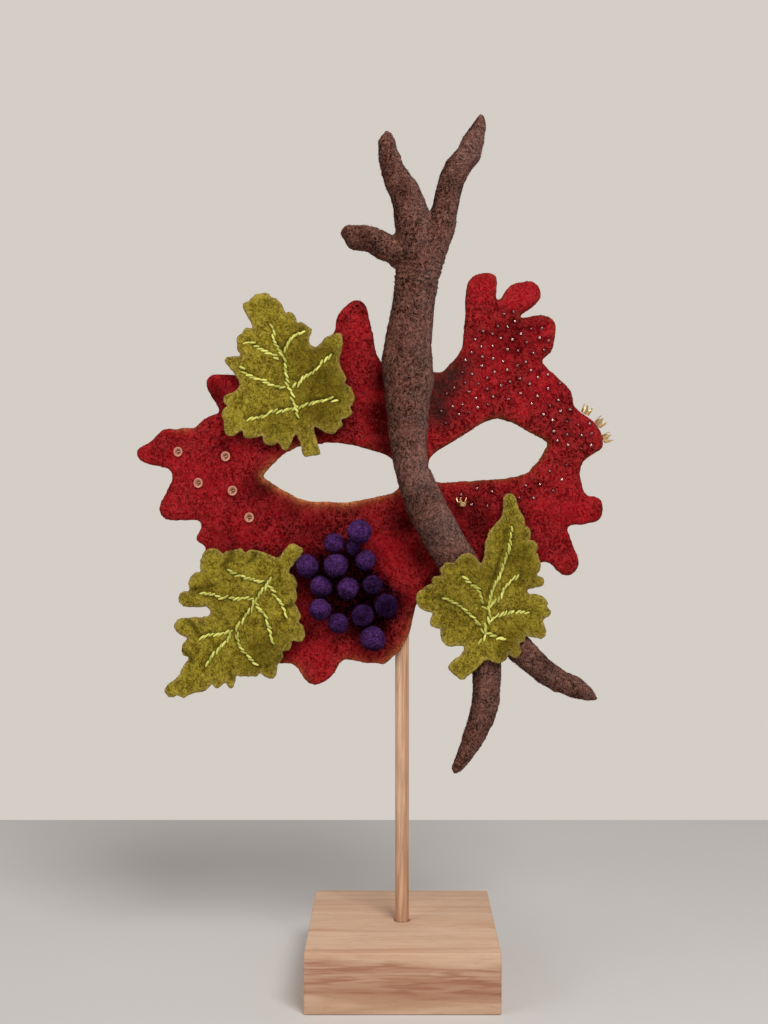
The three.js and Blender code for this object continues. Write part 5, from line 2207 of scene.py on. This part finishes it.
LEAF_LOWER_LEFT = VineLeaf(
    node="leaf_lower_left", flat=(0.066, 0.072), seed=32, flat_area=0.0031,
    notches=(
        (222.5, 551.9), (205.8, 572.2), (187.3, 589.8), (191, 618.5), (185.5, 641.6), (189.2, 659.2),
        (180, 678.6), (209.5, 686), (224.3, 684.1), (234.5, 676.7), (263.2, 673), (283.5, 652.7),
        (297.4, 602.8), (296, 642), (245, 549), (300, 622),
    ),
    creases=(
        ((190, 590.5), (200, 589), (211.5, 586.5)), ((300, 601), (292, 604), (284, 609)),
        ((284, 653), (280, 657), (277, 662)), ((186, 619), (192, 625), (197, 634)),
        ((182, 650), (187, 655), (192, 662)), ((222, 566), (228, 561), (232, 552)),
        ((256, 553), (252, 560), (246, 564)), ((236, 688), (232, 680), (229, 672)),
    ),
    shade=(Spot(262, 658, 18, 0.7), Spot(225, 600, 14, 0.3), Spot(278, 640, 12, 0.4)),
    veins=(
        ((271.6, 577), (267, 581), (264, 589.5), (258.5, 592.7), (256.3, 599.3), (252, 601.4), (251, 610),
         (245.4, 613.4), (242, 621), (236, 625.4), (234.5, 631)),
        ((264, 582.4), (258.5, 583), (251, 579), (244, 579), (240, 575.3), (232, 574.8), (224.7, 568)),
        ((253, 600.4), (242, 598), (234.5, 600.4), (225.8, 597.6), (219, 600), (216, 596), (206, 595),
         (198.6, 592.7)),
        ((267, 585), (273.7, 591.6), (277, 599.3), (282, 606), (284, 612.3), (284.6, 619.4)),
        ((253.6, 601.4), (258, 610), (265, 615.6), (265.6, 624.3), (270.5, 632), (269.4, 638.5), (272, 644)),
        ((233, 631.4), (224.7, 632.5), (216, 635), (208.4, 634), (198.6, 638)),
        ((229.6, 632), (227.4, 640.7), (220.4, 645), (216, 651.6), (210.6, 656), (207.3, 662.5),
         (202, 664.6)),
        ((237.8, 631), (235.6, 639.6), (240, 649.4), (247.6, 657), (253, 663.5), (259, 668)),
    ),
)
LEAF_LOWER_RIGHT = VineLeaf(
    node="leaf_lower_right", flat=(0.062, 0.084), seed=33, flat_area=0.0028,
    notches=(
        (526.9, 522), (532.5, 536), (541.6, 550), (538.8, 574), (547.3, 621.6), (529, 635.7),
        (519, 645.5), (509.4, 656.7), (484, 547), (480.6, 561.3), (442, 576.8), (429.5, 583.8),
        (433.7, 613), (436.5, 631.5), (452, 569), (549, 608),
    ),
    shade=(
        Spot(470, 560, 12, 0.5), Spot(482, 575, 10, 0.6), Spot(520, 640, 16, 0.6), Spot(520, 555, 16, 0.6),
        Spot(527, 575, 12, 0.6), Spot(508, 652, 10, 0.7), Spot(455, 622, 10, 0.2),
    ),
    creases=(((506, 530), (503, 550), (498, 566), (492, 582), (487, 597)),),
    veins=(
        ((513.4, 527.7), (511.4, 540), (510, 550.7), (505, 563.8), (501.6, 574.4), (495.7, 585),
         (491.7, 596.7), (489.8, 607), (489, 617.7), (485.8, 631), (483, 638.7), (478.6, 640.7)),
        ((490.4, 607), (497, 600.6), (501.6, 596.7), (503, 591.4), (510, 583.6), (522, 575)),
        ((490.4, 620.3), (502, 615), (510, 611), (523.3, 611), (529.8, 612.5)),
        ((486.5, 632), (494.4, 636), (503.6, 637.4), (505.5, 641.4)),
        ((487.8, 609), (482.5, 604.6), (482.5, 596.7), (480, 590), (472, 585), (466, 579.6), (462, 575)),
        ((481, 633.5), (480.6, 627), (473.3, 619), (466, 612.5), (461.5, 608), (451, 602), (439.8, 598)),
    ),
)


def main() -> None:
    """Build the whole model around the frame."""
    logging.basicConfig(level=logging.INFO, format="%(name)s %(message)s")
    VIEW.set_up()
    wool = Wool()
    grain = Grain()
    looks = {felt.name: felt.material(wool) for felt in (RED_FELT, BARK_FELT, LEAF_FELT, GRAPE_FELT)}
    looks |= {wood.name: wood.material(grain) for wood in (BLOCK_WOOD, ROD_WOOD)}
    looks |= {metal.name: metal.material() for metal in (GOLD, COPPER_PEARL, SILVER_BEAD)}
    looks |= {thread.name: thread.material() for thread in (VEIN_THREAD, COPPER_THREAD)}
    Studio().build()
    Stand().build(looks)
    face = MaskBody().build(looks)
    SeedBeads().build(looks, face)
    FeltTree().build(looks)
    stitch = StemStitch()
    for leaf in (LEAF_UPPER_LEFT, LEAF_LOWER_LEFT, LEAF_LOWER_RIGHT):
        leaf.build(looks, stitch)
    Grapes().build(looks)
    Sequins().build(looks)
    Crowns().build(looks)


if __name__ == "__main__":
    main()
